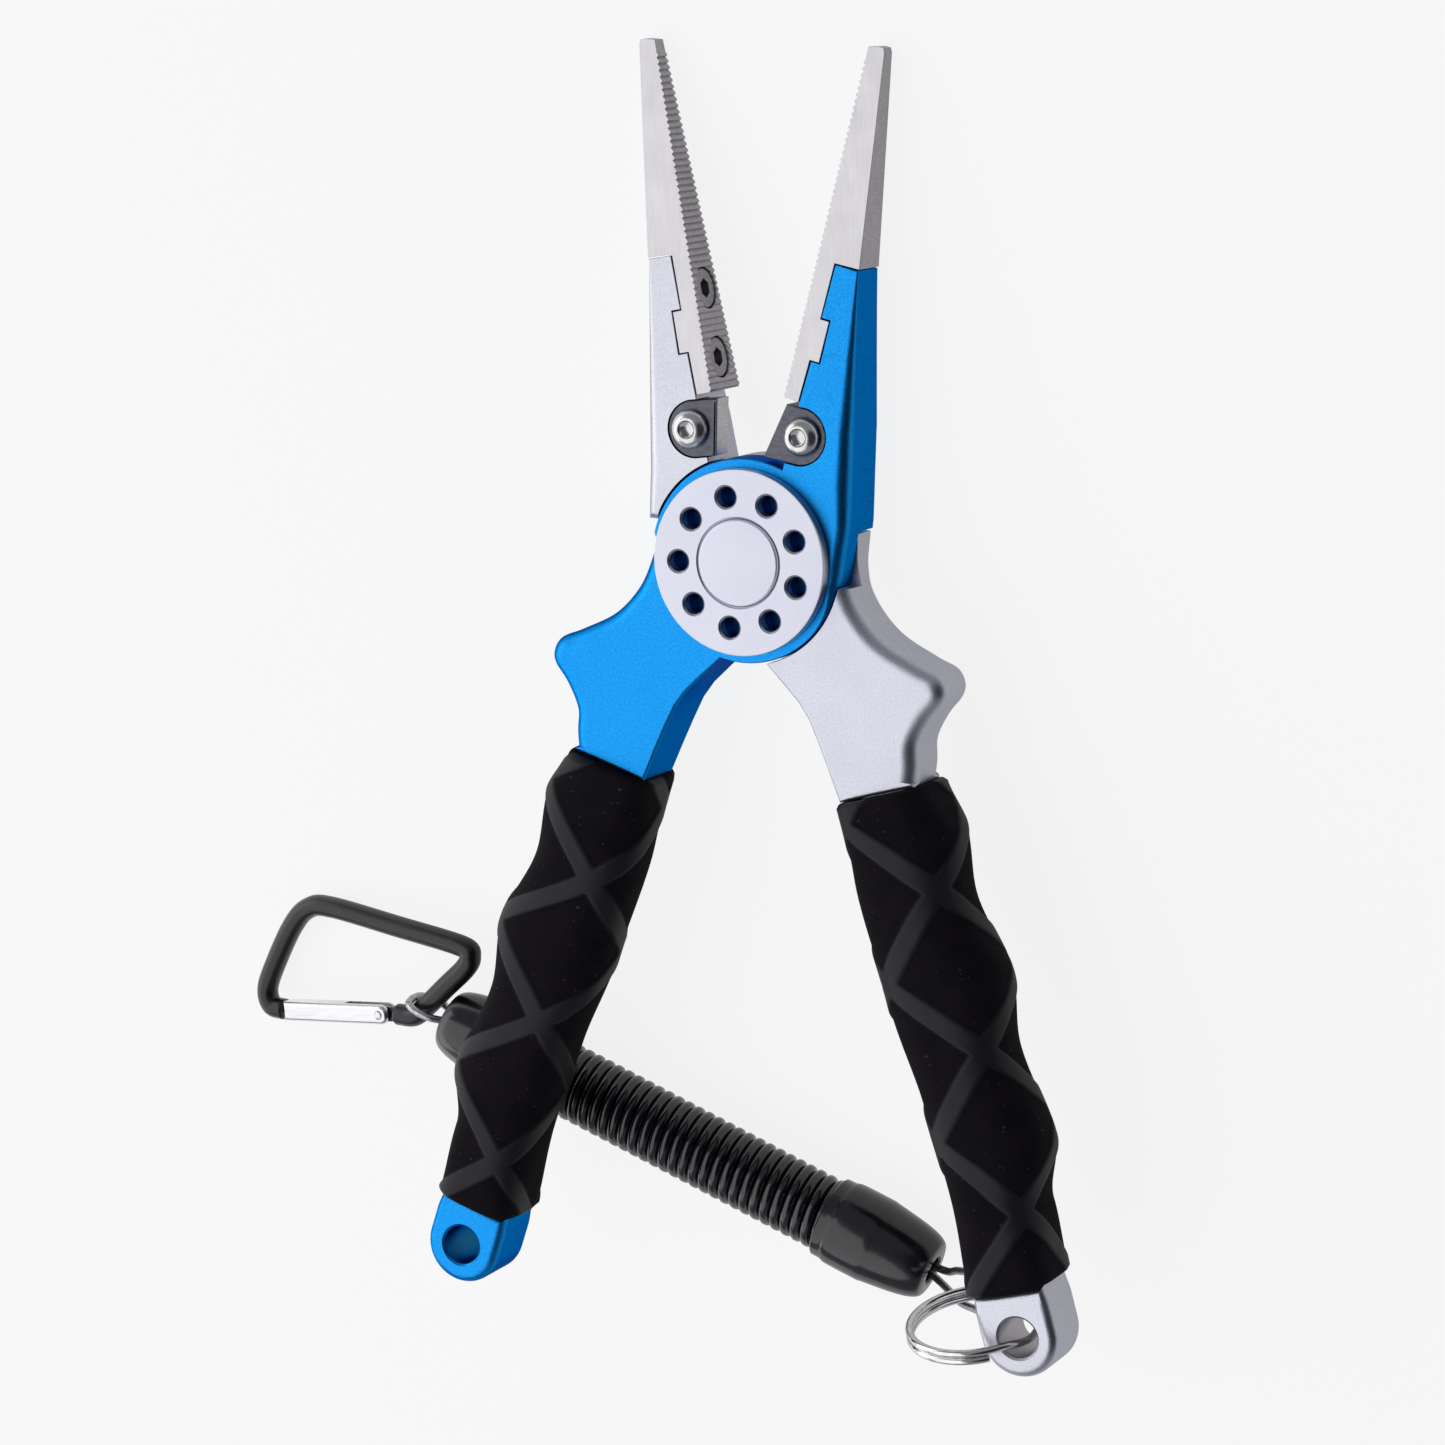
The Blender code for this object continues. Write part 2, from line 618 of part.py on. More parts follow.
def make_ring(parent):
    """Double-turn wire ring, standing in the parent's XZ plane, as one band."""
    bm = bmesh.new()
    rows = []
    for k in range(30):
        angle = 2 * math.pi * k / 30
        outwards = Vector((math.cos(angle), 0, math.sin(angle)))
        row = []
        for j in range(8):
            turn = 2 * math.pi * j / 8
            offset = outwards * (RING_HALF_RADIAL * math.cos(turn))
            offset += Vector((0, RING_HALF_AXIAL * math.sin(turn), 0))
            row.append(bm.verts.new(outwards * RING_RADIUS + offset))
        rows.append(row)
    for row, following in zip(rows, rows[1:] + rows[:1]):
        for j in range(8):
            i = (j + 1) % 8
            bm.faces.new((row[j], row[i], following[i], following[j]))
    bmesh.ops.translate(bm, verts=bm.verts, vec=(RING_RADIUS - RING_SLIDE, 0, 0))
    add_object("split_ring", bm, "steel", parent)


def boot_profile(length):
    """Moulded boot along +X: socket for the coil at 0, loop's bore at length."""
    radius = BOOT_RADIUS
    socket = COIL_RADIUS + 0.2
    return [(socket, 0.0), (radius - 0.55, 0.0), (radius - 0.15, 0.8), (radius, length * 0.35),
            (radius, length * 0.65), (radius - 0.5, length * 0.88), (radius - 1.6, length - 0.4),
            (radius - 2.4, length), (BOOT_BORE, length), (BOOT_BORE, COIL_ENTRY + 0.3),
            (socket, COIL_ENTRY + 0.3)]


def make_boot(name, length, parent):
    bm = revolve(boot_profile(length), 20)
    bmesh.ops.rotate(bm, verts=bm.verts, cent=(0, 0, 0), matrix=Matrix.Rotation(math.pi / 2, 3, "Y"))
    add_object(name, bm, "boot", parent)


def make_crimp(name, length, parent):
    bm = revolve([(1.4, 0), (1.9, 0), (1.9, 7), (1.4, 7)], 12)
    bmesh.ops.rotate(bm, verts=bm.verts, cent=(0, 0, 0), matrix=Matrix.Rotation(math.pi / 2, 3, "Y"))
    bmesh.ops.translate(bm, verts=bm.verts, vec=(length - 9.5, 0, 0))
    add_object(name, bm, "steel", parent)


def make_wire_loop(name, route, parent):
    """U-shaped wire; each route row is (middle, sideways direction, half spread)."""
    legs = []
    for side in (1, -1):
        points = [Vector(middle) + Vector(way).normalized() * (spread * side)
                  for middle, way, spread in route]
        legs.append(smooth_through(points, 3))
    path = legs[0] + legs[1][-2::-1]
    add_object(name, tube(path, WIRE_RADIUS, 7), "steel", parent)


def make_coil(parent):
    """The coiled cord's outer shape, one fat tube between the two boots."""
    curve = bpy.data.curves.new("lanyard_coil", "CURVE")
    curve.dimensions = "3D"
    curve.bevel_depth = COIL_RADIUS * MM
    curve.bevel_resolution = 4
    curve.use_fill_caps = True
    first = -COIL_ENTRY
    last = COIL_LENGTH + COIL_ENTRY
    spline = curve.splines.new("POLY")
    count = 5
    spline.points.add(count - 1)
    for k in range(count):
        x = first + (last - first) * k / (count - 1)
        spline.points[k].co = (x * MM, 0, 0, 1)
    coil = bpy.data.objects.new("lanyard_coil", curve)
    bpy.context.scene.collection.objects.link(coil)
    coil.parent = parent
    curve.materials.append(material("cord"))


def make_lanyard(parent):
    """Along +X of the parent: ring boot, coil, clip boot."""
    coil_frame = add_empty("coil_frame", parent, Matrix.Translation((RING_BOOT_LENGTH, 0, 0)))
    make_coil(coil_frame)
    to_ring = Matrix.Translation((RING_BOOT_LENGTH, 0, 0)) @ Matrix.Rotation(math.pi, 4, "Z")
    ring_end = add_empty("ring_end", parent, to_ring)
    make_boot("ring_boot", RING_BOOT_LENGTH, ring_end)
    make_crimp("ring_crimp", RING_BOOT_LENGTH, ring_end)
    length = RING_BOOT_LENGTH
    level, towards_ring = (0, 1, 0), (-0.344, 0.939, 0)
    make_wire_loop("ring_loop", [((length - 9, 0, 0), level, 0.7), ((length - 1, 0, 0), level, 0.7),
                                 ((length + 2.4, 0.4, 1.0), level, 1.2),
                                 ((length + 5.6, 2.3, 4.3), towards_ring, 2.5),
                                 ((length + 9.0, 5.2, 8.4), towards_ring, 2.75),
                                 ((length + 11.6, 6.2, 10.8), towards_ring, 1.9),
                                 ((length + 12.4, 6.5, 11.6), towards_ring, 0)], ring_end)
    clip_end = add_empty("clip_end", coil_frame, Matrix.Translation((COIL_LENGTH, 0, 0)))
    make_boot("clip_boot", CLIP_BOOT_LENGTH, clip_end)
    make_crimp("clip_crimp", CLIP_BOOT_LENGTH, clip_end)
    length = CLIP_BOOT_LENGTH
    upright = (0, 0, 1)
    make_wire_loop("clip_loop", [((length - 9, 0, 0), upright, 0.7),
                                 ((length - 0.5, 0, 0), upright, 0.7),
                                 ((length + 2.2, 0, 0), upright, 1.5),
                                 ((length + 4.2, 0, 0), upright, 2.6),
                                 ((length + 6.6, 0, 0), upright, 2.8),
                                 ((length + 8.5, 0, 0), upright, 1.9),
                                 ((length + LOOP_REACH, 0, 0), upright, 0)], clip_end)


# ---------------------------------------------------------------- carabiner

ROD_ROUTE = [(-5.4, -2.2), (-2.4, -1.9), (0, 0), (4.0, 3.95), (7.4, 7.3), (8.3, 9.3), (6.6, 10.7),
             (-6.0, 11.9), (-19.0, 13.0), (-23.6, 12.2), (-27.0, 8.6), (-30.9, 0.8),
             (-31.9, -2.7), (-30.9, -4.9), (-28.4, -5.15)]
GATE_PIN = Vector((-8.2, -2.5))
GATE_YAW = math.atan2(-0.131, -0.991)
GATE_LENGTH = 19.4


def make_carabiner(parent):
    """A bent rod in the parent's XY plane with a sprung gate on its straight side."""
    path = [Vector((p.x, p.y, 0)) for p in smooth_through([(*p, 0) for p in ROD_ROUTE], 3)]
    body = add_object("carabiner_body", tube(path, ROD_RADIUS, 10, (0, 0, 1)), "clip_black", parent)
    gate_frame = add_empty("gate_hinge", parent, Matrix.Translation((*GATE_PIN, 0))
                           @ Matrix.Rotation(GATE_YAW, 4, "Z"))
    tongue_outline = [Vector((-3.6, 1.15))] + [Vector((-3.6, -1.15))] + arc((0, 0), 1.15, -90, 90, 8)
    tongue = prism(tongue_outline, 0.6, -0.6)
    fuse(body, add_object("carabiner_tongue", tongue, "clip_black", gate_frame))
    hole = revolve([(0, 2), (CLIP_PIN_RADIUS + 0.1, 2), (CLIP_PIN_RADIUS + 0.1, -2), (0, -2)], 12)
    cut(body, add_object("carabiner_pin_hole", hole, "clip_black", gate_frame))

    gate_outline = arc((0, 0), 1.55, 90, 270, 8)
    gate_outline += [Vector((GATE_LENGTH, -1.55)), Vector((GATE_LENGTH, 1.55))]
    gate = add_object("carabiner_gate", slab(gate_outline, 1.75, -1.75,
                                             [0.5] * len(gate_outline), 2), "silver", gate_frame)
    slot = prism([Vector((-3, -3)), Vector((7.5, -3)), Vector((7.5, 3)), Vector((-3, 3))], 0.8, -0.8)
    cut(gate, add_object("gate_slot", slot, "silver", gate_frame))
    hole = revolve([(0, 3), (CLIP_PIN_RADIUS + 0.1, 3), (CLIP_PIN_RADIUS + 0.1, -3), (0, -3)], 12)
    cut(gate, add_object("gate_pin_hole", hole, "silver", gate_frame))
    add_object("gate_pin", revolve([(0, 1.95), (CLIP_PIN_RADIUS - 0.1, 1.95),
                                    (CLIP_PIN_RADIUS, 1.85), (CLIP_PIN_RADIUS, -1.85),
                                    (CLIP_PIN_RADIUS - 0.1, -1.95), (0, -1.95)], 12),
               "steel", gate_frame)
    spring = tube([Vector((x, 0.5 * math.sin(x * 1.6), 0)) for x in (2.0, 3.0, 4.0, 5.0, 6.0, 7.0)],
                  0.35, 6)
    add_object("gate_spring", spring, "steel", gate_frame)


# ---------------------------------------------------------------- assembly

def build():
    for old in list(bpy.data.objects):
        bpy.data.objects.remove(old, do_unlink=True)

    base = add_empty("assembly", None, Matrix.Translation((0, ASSEMBLY_Y, 0)))
    lie = Matrix.Translation((0, 0, PIVOT_HEIGHT)) @ Matrix.Rotation(-PITCH, 4, "X")
    silver_side = add_empty("tool_frame", base, lie)
    blue_side = add_empty("main_pivot", silver_side)

    silver = make_half("silver_half", "silver", 1, silver_side)
    blue = make_half("blue_half", "blue", -1, blue_side)
    cut_pivot_seats(silver, blue, silver_side, blue_side)
    for side, hand, parent in (("silver", 1, silver_side), ("blue", -1, blue_side)):
        make_jaw(side + "_jaw", hand, parent)
        make_cutter(side + "_cutter", hand, parent)
        make_grip(side + "_grip", hand, parent)
    make_pivot(silver_side, blue_side, blue)

    lug = on_grip(LUG_CENTRE_S, LUG_CENTRE_D)
    lug_place = lie @ Vector((lug.x, lug.y, MID_Z))
    ring_frame = add_empty("ring_swing", base, Matrix.Translation(lug_place)
                           @ Matrix.Rotation(RING_YAW, 4, "Z")
                           @ Matrix.Rotation(RING_LEAN, 4, "X"))
    make_ring(ring_frame)
    lanyard_place = Matrix.Translation((*RING_BOOT_END, BOOT_RADIUS))
    lanyard_frame = add_empty("lanyard", base, lanyard_place
                              @ Matrix.Rotation(LANYARD_YAW, 4, "Z"))
    make_lanyard(lanyard_frame)

    total = RING_BOOT_LENGTH + COIL_LENGTH + CLIP_BOOT_LENGTH + HOOK_DISTANCE
    hook = lanyard_place @ Matrix.Rotation(LANYARD_YAW, 4, "Z") @ Vector((total, 0, 0))
    clip_frame = add_empty("clip_hinge", base, Matrix.Translation(hook)
                           @ Matrix.Rotation(CLIP_TILT, 4, CLIP_AXIS))
    make_carabiner(clip_frame)
    bpy.context.view_layer.update()


build()
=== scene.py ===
"""Looks of the fishing pliers: fine surfaces, materials, studio and camera.

All design numbers are in millimetres.  The tool frame has its origin on the
pivot axis at the hub's front face: X right, Y towards the jaws, Z forwards.
"""
import math

import bmesh
import bpy
from mathutils import Matrix, Vector


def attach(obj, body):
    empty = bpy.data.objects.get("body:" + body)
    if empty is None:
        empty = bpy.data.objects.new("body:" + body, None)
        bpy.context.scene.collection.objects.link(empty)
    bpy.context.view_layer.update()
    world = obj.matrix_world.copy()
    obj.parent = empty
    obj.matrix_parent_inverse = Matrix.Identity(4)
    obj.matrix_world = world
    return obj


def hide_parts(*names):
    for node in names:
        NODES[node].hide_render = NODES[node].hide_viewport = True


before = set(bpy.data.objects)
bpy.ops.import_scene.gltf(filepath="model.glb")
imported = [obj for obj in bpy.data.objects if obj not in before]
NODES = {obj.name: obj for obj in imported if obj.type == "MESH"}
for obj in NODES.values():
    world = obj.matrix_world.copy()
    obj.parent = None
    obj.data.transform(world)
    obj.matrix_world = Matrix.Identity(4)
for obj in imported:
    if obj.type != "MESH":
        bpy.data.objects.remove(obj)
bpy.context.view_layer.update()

MM = 0.001

# How the tool lies
PITCH = math.radians(7.6)
ASSEMBLY_Y = 21.29
PIVOT_HEIGHT = 14.62
TOOL = (Matrix.Translation((0, ASSEMBLY_Y * MM, PIVOT_HEIGHT * MM))
        @ Matrix.Rotation(-PITCH, 4, "X"))

# Halves
THICKNESS = 10.0
MID_Z = -THICKNESS / 2
LAP_GAP = 0.3
HUB_RADIUS = 14.8
RUN_GAP = 0.3
EDGE_ROUND = 2.5        # front and back rims of the handles
HUB_RIM = 0.25
SHOULDER_STEP_Y = -2.8  # the silver half's front layer ends here
LEDGE_Y = 4.9           # the rear layer of each arm ends here
TAPER_START_Y = 20.0
TAPER_END_Y = 73.0
FRONT_TAPER = 2.4
BACK_TAPER = 5.0

# Pivot
DISC_RADIUS = 13.5
DISC_FRONT = 1.95
DISC_HOLES = 9
DISC_HOLE_RADIUS = 1.53
DISC_HOLE_CIRCLE = 9.55
DISC_HOLE_START = math.radians(103)
CAP_RADIUS = 6.3
BARREL_RADIUS = 4.0
BUSH_RADIUS = 5.2
FLANGE_RADIUS = 9.0

# Jaws
FACE_OFFSET = 0.4
FACE_SLOPE = 0.2195
TOOTH_PITCH = 0.9
TOOTH_DEPTH = 0.24
LOW_TOOTH_DEPTH = 0.17  # the teeth beside the screws are shallower
LOW_TEETH_END_Y = 40
JAW_SCREW_Y = (38.4, 28.6)
JAW_SCREW_HEAD = 2.85
JAW_SCREW_SHANK = 1.5
JAW_SCREW_HEX = 1.45

# Cutters
CUTTER_SCREW = (8.8, 18.5)
CUTTER_SCREW_HEX = 1.22
CUTTER_CENTRE = (8.3, 18.5)
CUTTER_ROUND = 4.1
POCKET_FLOOR = -4.2

# Grips
GRIP_START = Vector((21.5, -32.0))
GRIP_AXIS = Vector((20.8, -69.0)).normalized()
GRIP_OUT = Vector((-GRIP_AXIS.y, GRIP_AXIS.x))
GRIP_LENGTH = 73.5
GRIP_HALF_THICKNESS = 7.2
GRIP_GIRTH = 48.0
GRIP_END_ROUND = 0.6
SKIN_SINK = 0.12        # the matte skin lies this far below the outline
BAND_WIDTH = 2.9
BAND_EDGE = 0.32
BAND_HEIGHT = 0.3
BAND_LEAD = 47.6
# Each grip is turned on its core: where its bands cross, and its turn
BAND_PLACES = {"blue": (17.0, -0.07), "silver": (15.0, 0.12)}
CORE_HALF_WIDTH = 4.5
CORE_HALF_THICKNESS = 3.4
CORE_OFFSET = 0.5
CORE_SQUARE = 0.45
LUG_CENTRE_S = 80.65
LUG_CENTRE_D = 0.93
LUG_RADIUS = 6.0
LUG_HOLE_RADIUS = 2.9

# Split ring
RING_RADIUS = 9.5
RING_WIRE = 0.6
RING_SLIDE = 0.7
RING_YAW = math.radians(185)
RING_LEAN = math.radians(-6)
RING_START = math.radians(124)
RING_END = math.radians(-172 - 360)
JOG_START = math.radians(-186)
JOG_END = math.radians(-226)

# Lanyard
BOOT_RADIUS = 6.65
BOOT_BORE = 2.15
RING_BOOT_LENGTH = 18.0
CLIP_BOOT_LENGTH = 16.0
CLIP_BOOT_EXTRA = 2.0   # the photo shows more of this boot than the CAD has
COIL_RADIUS = 5.75
COIL_LENGTH = 50.4
COIL_ENTRY = 4.0
CORD_DIAMETER = 1.8
CORD_POINTS_PER_TURN = 28
RING_BOOT_END = Vector((22.8, -110.6))
LANYARD_YAW = math.radians(159.9)
WIRE_RADIUS = 0.6
LOOP_REACH = 9.0

# Carabiner
ROD_RADIUS = 1.7
CLIP_PIN_RADIUS = 0.6
CLIP_PIN_GAP = 0.1
HOOK_DISTANCE = 6.3
CLIP_AXIS = Vector((0.714, 0.700, 0.0)).normalized()
CLIP_TILT = math.radians(-10.9)

# Camera, placed from the tool
CAMERA_AT = Vector((270.48, 94.63, 564.90))
CAMERA_FORWARD = Vector((-0.42813, -0.18540, -0.88450))
CAMERA_UP = Vector((-0.09604, 0.98252, -0.15946))
CAMERA_LENS = 110.09
SENSOR_WIDTH = 36.0

# Studio.  The world goes from pale to a dark flag high on the right, which the
# right-hand rims reflect; stops are (place from far to the flag's middle, colour)
FLAG_DIRECTION = (0.75, 0.0, 0.66)
WORLD_STOPS = ((0.0, (0.62, 0.63, 0.67)), (0.42, (0.22, 0.22, 0.25)),
               (0.86, (0.24, 0.24, 0.27)), (0.94, (0.02, 0.02, 0.03)))
WORLD_SEEN = (0.93, 0.93, 0.93, 1)
FLOOR_COLOUR = (0.13, 0.13, 0.13, 1)
FLOOR_GLOW_SEEN = 0.855
# In reflections the floor glows brighter on the left: (X in metres, strength)
FLOOR_GLOW_LEFT = (-0.10, 1.0)
FLOOR_GLOW_RIGHT = (-0.055, 0.45)
FLOOR_DROP = 0.0004


# ------------ materials

def add_node(nodes, kind, **values):
    """Adds a shader node and sets its inputs by name."""
    node = nodes.new("ShaderNode" + kind)
    for name, value in values.items():
        node.inputs[name.replace("_", " ")].default_value = value
    return node


class Surface:
    """Small helper around one material's node tree."""

    def __init__(self, name):
        self.material = bpy.data.materials.new(name)
        self.material.use_nodes = True
        self.nodes = self.material.node_tree.nodes
        self.links = self.material.node_tree.links
        self.shader = self.nodes["Principled BSDF"]
        self.place = self.add("TexCoord").outputs["Object"]

    def add(self, kind, **values):
        return add_node(self.nodes, kind, **values)

    def set(self, **values):
        for name, value in values.items():
            self.shader.inputs[name.replace("_", " ")].default_value = value
        return self

    def noise(self, scale, detail=2.0, stretch=None, roughness=0.5):
        node = self.add("TexNoise", Scale=scale, Detail=detail, Roughness=roughness)
        source = self.place
        if stretch:
            mapping = self.add("Mapping", Scale=stretch)
            self.links.new(source, mapping.inputs["Vector"])
            source = mapping.outputs["Vector"]
        self.links.new(source, node.inputs["Vector"])
        return node.outputs["Fac"]

    def spread(self, value, low, high, start=0.3, end=0.7):
        node = self.add("MapRange", From_Min=start, From_Max=end, To_Min=low, To_Max=high)
        self.links.new(value, node.inputs["Value"])
        return node.outputs["Result"]

    def mix(self, factor, first, second):
        node = self.add("Mix")
        node.data_type = "RGBA"
        self.links.new(factor, node.inputs["Factor"])
        for socket, colour in ((node.inputs[6], first), (node.inputs[7], second)):
            if isinstance(colour, tuple):
                socket.default_value = (*colour, 1.0)
            else:
                self.links.new(colour, socket)
        return node.outputs[2]

    def attribute(self, name):
        node = self.add("Attribute")
        node.attribute_name = name
        return node.outputs["Fac"]

    def into(self, value, socket):
        self.links.new(value, self.shader.inputs[socket])
        return self

    def bumps(self, *layers):
        """Each layer is (height output, distance in metres, strength)."""
        previous = None
        for height, distance, strength in layers:
            node = self.add("Bump", Distance=distance, Strength=strength)
            self.links.new(height, node.inputs["Height"])
            if previous:
                self.links.new(previous, node.inputs["Normal"])
            previous = node.outputs["Normal"]
        self.links.new(previous, self.shader.inputs["Normal"])
        return self


def blasted(name, colour, shade, edge, hole_shade, roughness):
    """Bead-blasted anodised aluminium with fine sparkle.

    edge tints grazing reflections; the colour for the marked hole walls is painted shade.
    """
    surface = Surface(name).set(Metallic=1.0, Specular_Tint=(*edge, 1.0))
    fine = surface.noise(3300, 3.0, roughness=0.7)
    cloud = surface.noise(90, 3.0)
    skin = surface.mix(surface.spread(fine, 0.0, 1.0, 0.35, 0.72), shade, colour)
    # the marked hole walls take a darker colour: painted shade in the holes
    surface.into(surface.mix(surface.attribute("mark"), skin, hole_shade), "Base Color")
    surface.into(surface.spread(cloud, roughness - 0.04, roughness + 0.05), "Roughness")
    surface.bumps((fine, 0.00012, 0.24), (surface.noise(1500, 2.0), 0.0002, 0.06))
    return surface.material


def brushed(name, colour, shade, roughness, stretch, strength=0.25, marked=None):
    """Steel with fine grinding lines; marked is the colour of the marked faces, which get a grinding
    grain; on the jaw that colour is partly painted shade.
    """
    surface = Surface(name).set(Metallic=1.0)
    lines = surface.noise(1.0, 3.0, stretch, 0.6)
    cloud = surface.noise(160, 3.0)
    skin = surface.mix(surface.spread(lines, 0.0, 1.0), shade, colour)
    if marked:
        grain = surface.spread(surface.noise(1.0, 2.0, (900, 6500, 900), 0.6), 0.0, 1.0)
        # marked faces: grinding grain in the marked colour, which on the jaw is darkened as painted
        # shade
        marked_skin = surface.mix(grain, tuple(0.7 * value for value in marked), marked)
        skin = surface.mix(surface.attribute("mark"), skin, marked_skin)
    surface.into(skin, "Base Color")
    surface.into(surface.spread(cloud, roughness - 0.05, roughness + 0.07), "Roughness")
    surface.bumps((lines, 0.00008, strength), (surface.noise(3000, 2.0), 0.00005, 0.08))
    return surface.material


def plastic(name, colour, shade, roughness, grain, strength, coat=0.0):
    """Moulded or extruded plastic with a faint grain."""
    surface = Surface(name).set(Metallic=0.0, Coat_Weight=coat, Coat_Roughness=0.12)
    cloud = surface.noise(220, 3.0)
    fine = surface.noise(grain, 2.0)
    surface.into(surface.mix(surface.spread(cloud, 0.0, 1.0), shade, colour), "Base Color")
    surface.into(surface.spread(cloud, roughness - 0.05, roughness + 0.06), "Roughness")
    surface.bumps((fine, 0.0001, strength))
    return surface.material


def grip_rubber():
    """Matte foam-like rubber with satin raised bands."""
    surface = Surface("grip_rubber").set(Metallic=0.0)
    band = surface.attribute("band")
    cloud = surface.noise(260, 4.0)
    fine = surface.noise(4200, 2.0)
    matte = surface.mix(surface.spread(cloud, 0.0, 1.0), (0.0052, 0.0041, 0.0060),
                        (0.0095, 0.0072, 0.0100))
    specks = surface.spread(surface.noise(1900, 0.0), 0.0, 1.0, 0.815, 0.83)
    matte = surface.mix(specks, matte, (0.05, 0.045, 0.05))
    surface.into(surface.mix(band, matte, (0.0125, 0.0108, 0.0150)), "Base Color")
    surface.into(surface.spread(band, 0.88, 0.5, 0.0, 1.0), "Roughness")
    surface.into(surface.spread(band, 0.12, 0.28, 0.0, 1.0), "Specular IOR Level")
    surface.bumps((fine, 0.00008, 0.28), (surface.noise(700, 2.0), 0.0002, 0.08))
    return surface.material


def disc_metal():
    """Turned face: rings of fine lines round the pivot."""
    surface = Surface("disc_silver").set(Metallic=1.0)
    separate = surface.add("SeparateXYZ")
    surface.links.new(surface.place, separate.inputs[0])
    length = surface.add("VectorMath")
    length.operation = "LENGTH"
    flat = surface.add("CombineXYZ")
    surface.links.new(separate.outputs[0], flat.inputs[0])
    surface.links.new(separate.outputs[1], flat.inputs[1])
    surface.links.new(flat.outputs[0], length.inputs[0])
    rings = surface.add("TexNoise", Scale=4200, Detail=2.0)
    rings.noise_dimensions = "1D"
    surface.links.new(length.outputs["Value"], rings.inputs["W"])
    surface.into(surface.mix(surface.spread(rings.outputs["Fac"], 0.0, 1.0),
                             (0.645, 0.655, 0.74), (0.68, 0.69, 0.775)), "Base Color")
    surface.into(surface.spread(surface.noise(120, 2.0), 0.30, 0.37), "Roughness")
    surface.bumps((rings.outputs["Fac"], 0.00003, 0.05), (surface.noise(5200, 2.0), 0.0001, 0.16))
    return surface.material


# the fourth colour of each aluminium is painted shade for the walls of its holes
SILVER = blasted("silver_aluminium", (0.73, 0.74, 0.815), (0.59, 0.60, 0.665), (0.9, 0.9, 0.95),
                 (0.60, 0.58, 0.60), 0.34)
BLUE = blasted("blue_aluminium", (0.020, 0.40, 0.97), (0.011, 0.26, 0.71), (0.12, 0.14, 0.36),
               (0.035, 0.20, 0.42), 0.34)
DISC = disc_metal()
# the jaw's marked colour, on its serrated face and side walls, is steel darkened partly as painted
# shade on these sideways faces
JAW = brushed("jaw_steel", (0.68, 0.665, 0.675), (0.62, 0.605, 0.615), 0.34, (2600, 240, 2600),
              0.12, (0.58, 0.555, 0.585))
JAW_SCREW = brushed("screw_dark", (0.46, 0.44, 0.46), (0.34, 0.325, 0.34), 0.42,
                    (1500, 1500, 1500))
CUTTER = brushed("cutter_steel", (0.15, 0.15, 0.18), (0.10, 0.10, 0.12), 0.36,
                 (900, 2400, 900), 0.25, (0.85, 0.83, 0.84))
BRIGHT = brushed("bright_steel", (0.80, 0.79, 0.78), (0.66, 0.65, 0.64), 0.20,
                 (900, 900, 900), 0.12)
RING_STEEL = brushed("ring_steel", (0.90, 0.88, 0.86), (0.72, 0.70, 0.69), 0.16,
                     (700, 700, 700), 0.15)
LOOP_STEEL = brushed("loop_steel", (0.62, 0.61, 0.62), (0.34, 0.33, 0.34), 0.24,
                     (2500, 2500, 2500), 0.4)
BRONZE = brushed("bush_bronze", (0.50, 0.31, 0.13), (0.38, 0.22, 0.09), 0.42,
                 (1500, 1500, 1500))
GRIP = grip_rubber()
CORD = plastic("cord_plastic", (0.005, 0.005, 0.008), (0.003, 0.003, 0.005), 0.18, 1500, 0.05, 0.7)
BOOT = plastic("boot_rubber", (0.006, 0.006, 0.009), (0.004, 0.004, 0.006), 0.22, 900, 0.10, 0.6)
CLIP_PAINT = plastic("clip_paint", (0.008, 0.008, 0.010), (0.005, 0.005, 0.006), 0.34, 2600, 0.14,
                     0.2)
GATE = brushed("gate_silver", (0.86, 0.86, 0.88), (0.74, 0.74, 0.77), 0.24, (300, 3000, 300), 0.1)


# ------------ mesh tools

def loft(rings, loop=False):
    """Joins rings of equal count, with flat ends, or into a closed loop."""
    bm = bmesh.new()
    rows = [[bm.verts.new(point) for point in ring] for ring in rings]
    count = len(rows[0])
    pairs = list(zip(rows, rows[1:]))
    if loop:
        pairs.append((rows[-1], rows[0]))
    for row, following in pairs:
        for i in range(count):
            j = (i + 1) % count
            bm.faces.new((row[i], row[j], following[j], following[i]))
    if not loop:
        bm.faces.new(rows[0])
        bm.faces.new(rows[-1])
    return bm


def around(centre, radius, angle):
    return Vector((centre[0] + radius * math.cos(angle), centre[1] + radius * math.sin(angle)))


def revolve(profile, segments, centre=(0.0, 0.0)):
    """Turns a closed (radius, z) profile about Z; radius 0 makes a pole."""
    bm = bmesh.new()
    columns = []
    for radius, z in profile:
        columns.append([bm.verts.new((*around(centre, radius, 2 * math.pi * k / segments), z))
                        for k in range(segments if radius else 1)])
    for i, column in enumerate(columns):
        following = columns[(i + 1) % len(columns)]
        if len(column) == 1 and len(following) == 1:
            continue
        for k in range(segments):
            j = (k + 1) % segments
            if len(column) == 1:
                bm.faces.new((column[0], following[j], following[k]))
            elif len(following) == 1:
                bm.faces.new((column[k], column[j], following[0]))
            else:
                bm.faces.new((column[k], column[j], following[j], following[k]))
    return bm


def cylinder(radius, top, bottom, segments, centre=(0.0, 0.0)):
    return revolve([(0, top), (radius, top), (radius, bottom), (0, bottom)], segments, centre)


def ease(t):
    """Smooth step from 0 to 1."""
    t = max(0.0, min(1.0, t))
    return t * t * (3 - 2 * t)


def signed_power(value, power):
    """Squares off a circle when it is used on its cosine and sine."""
    return math.copysign(abs(value) ** power, value)


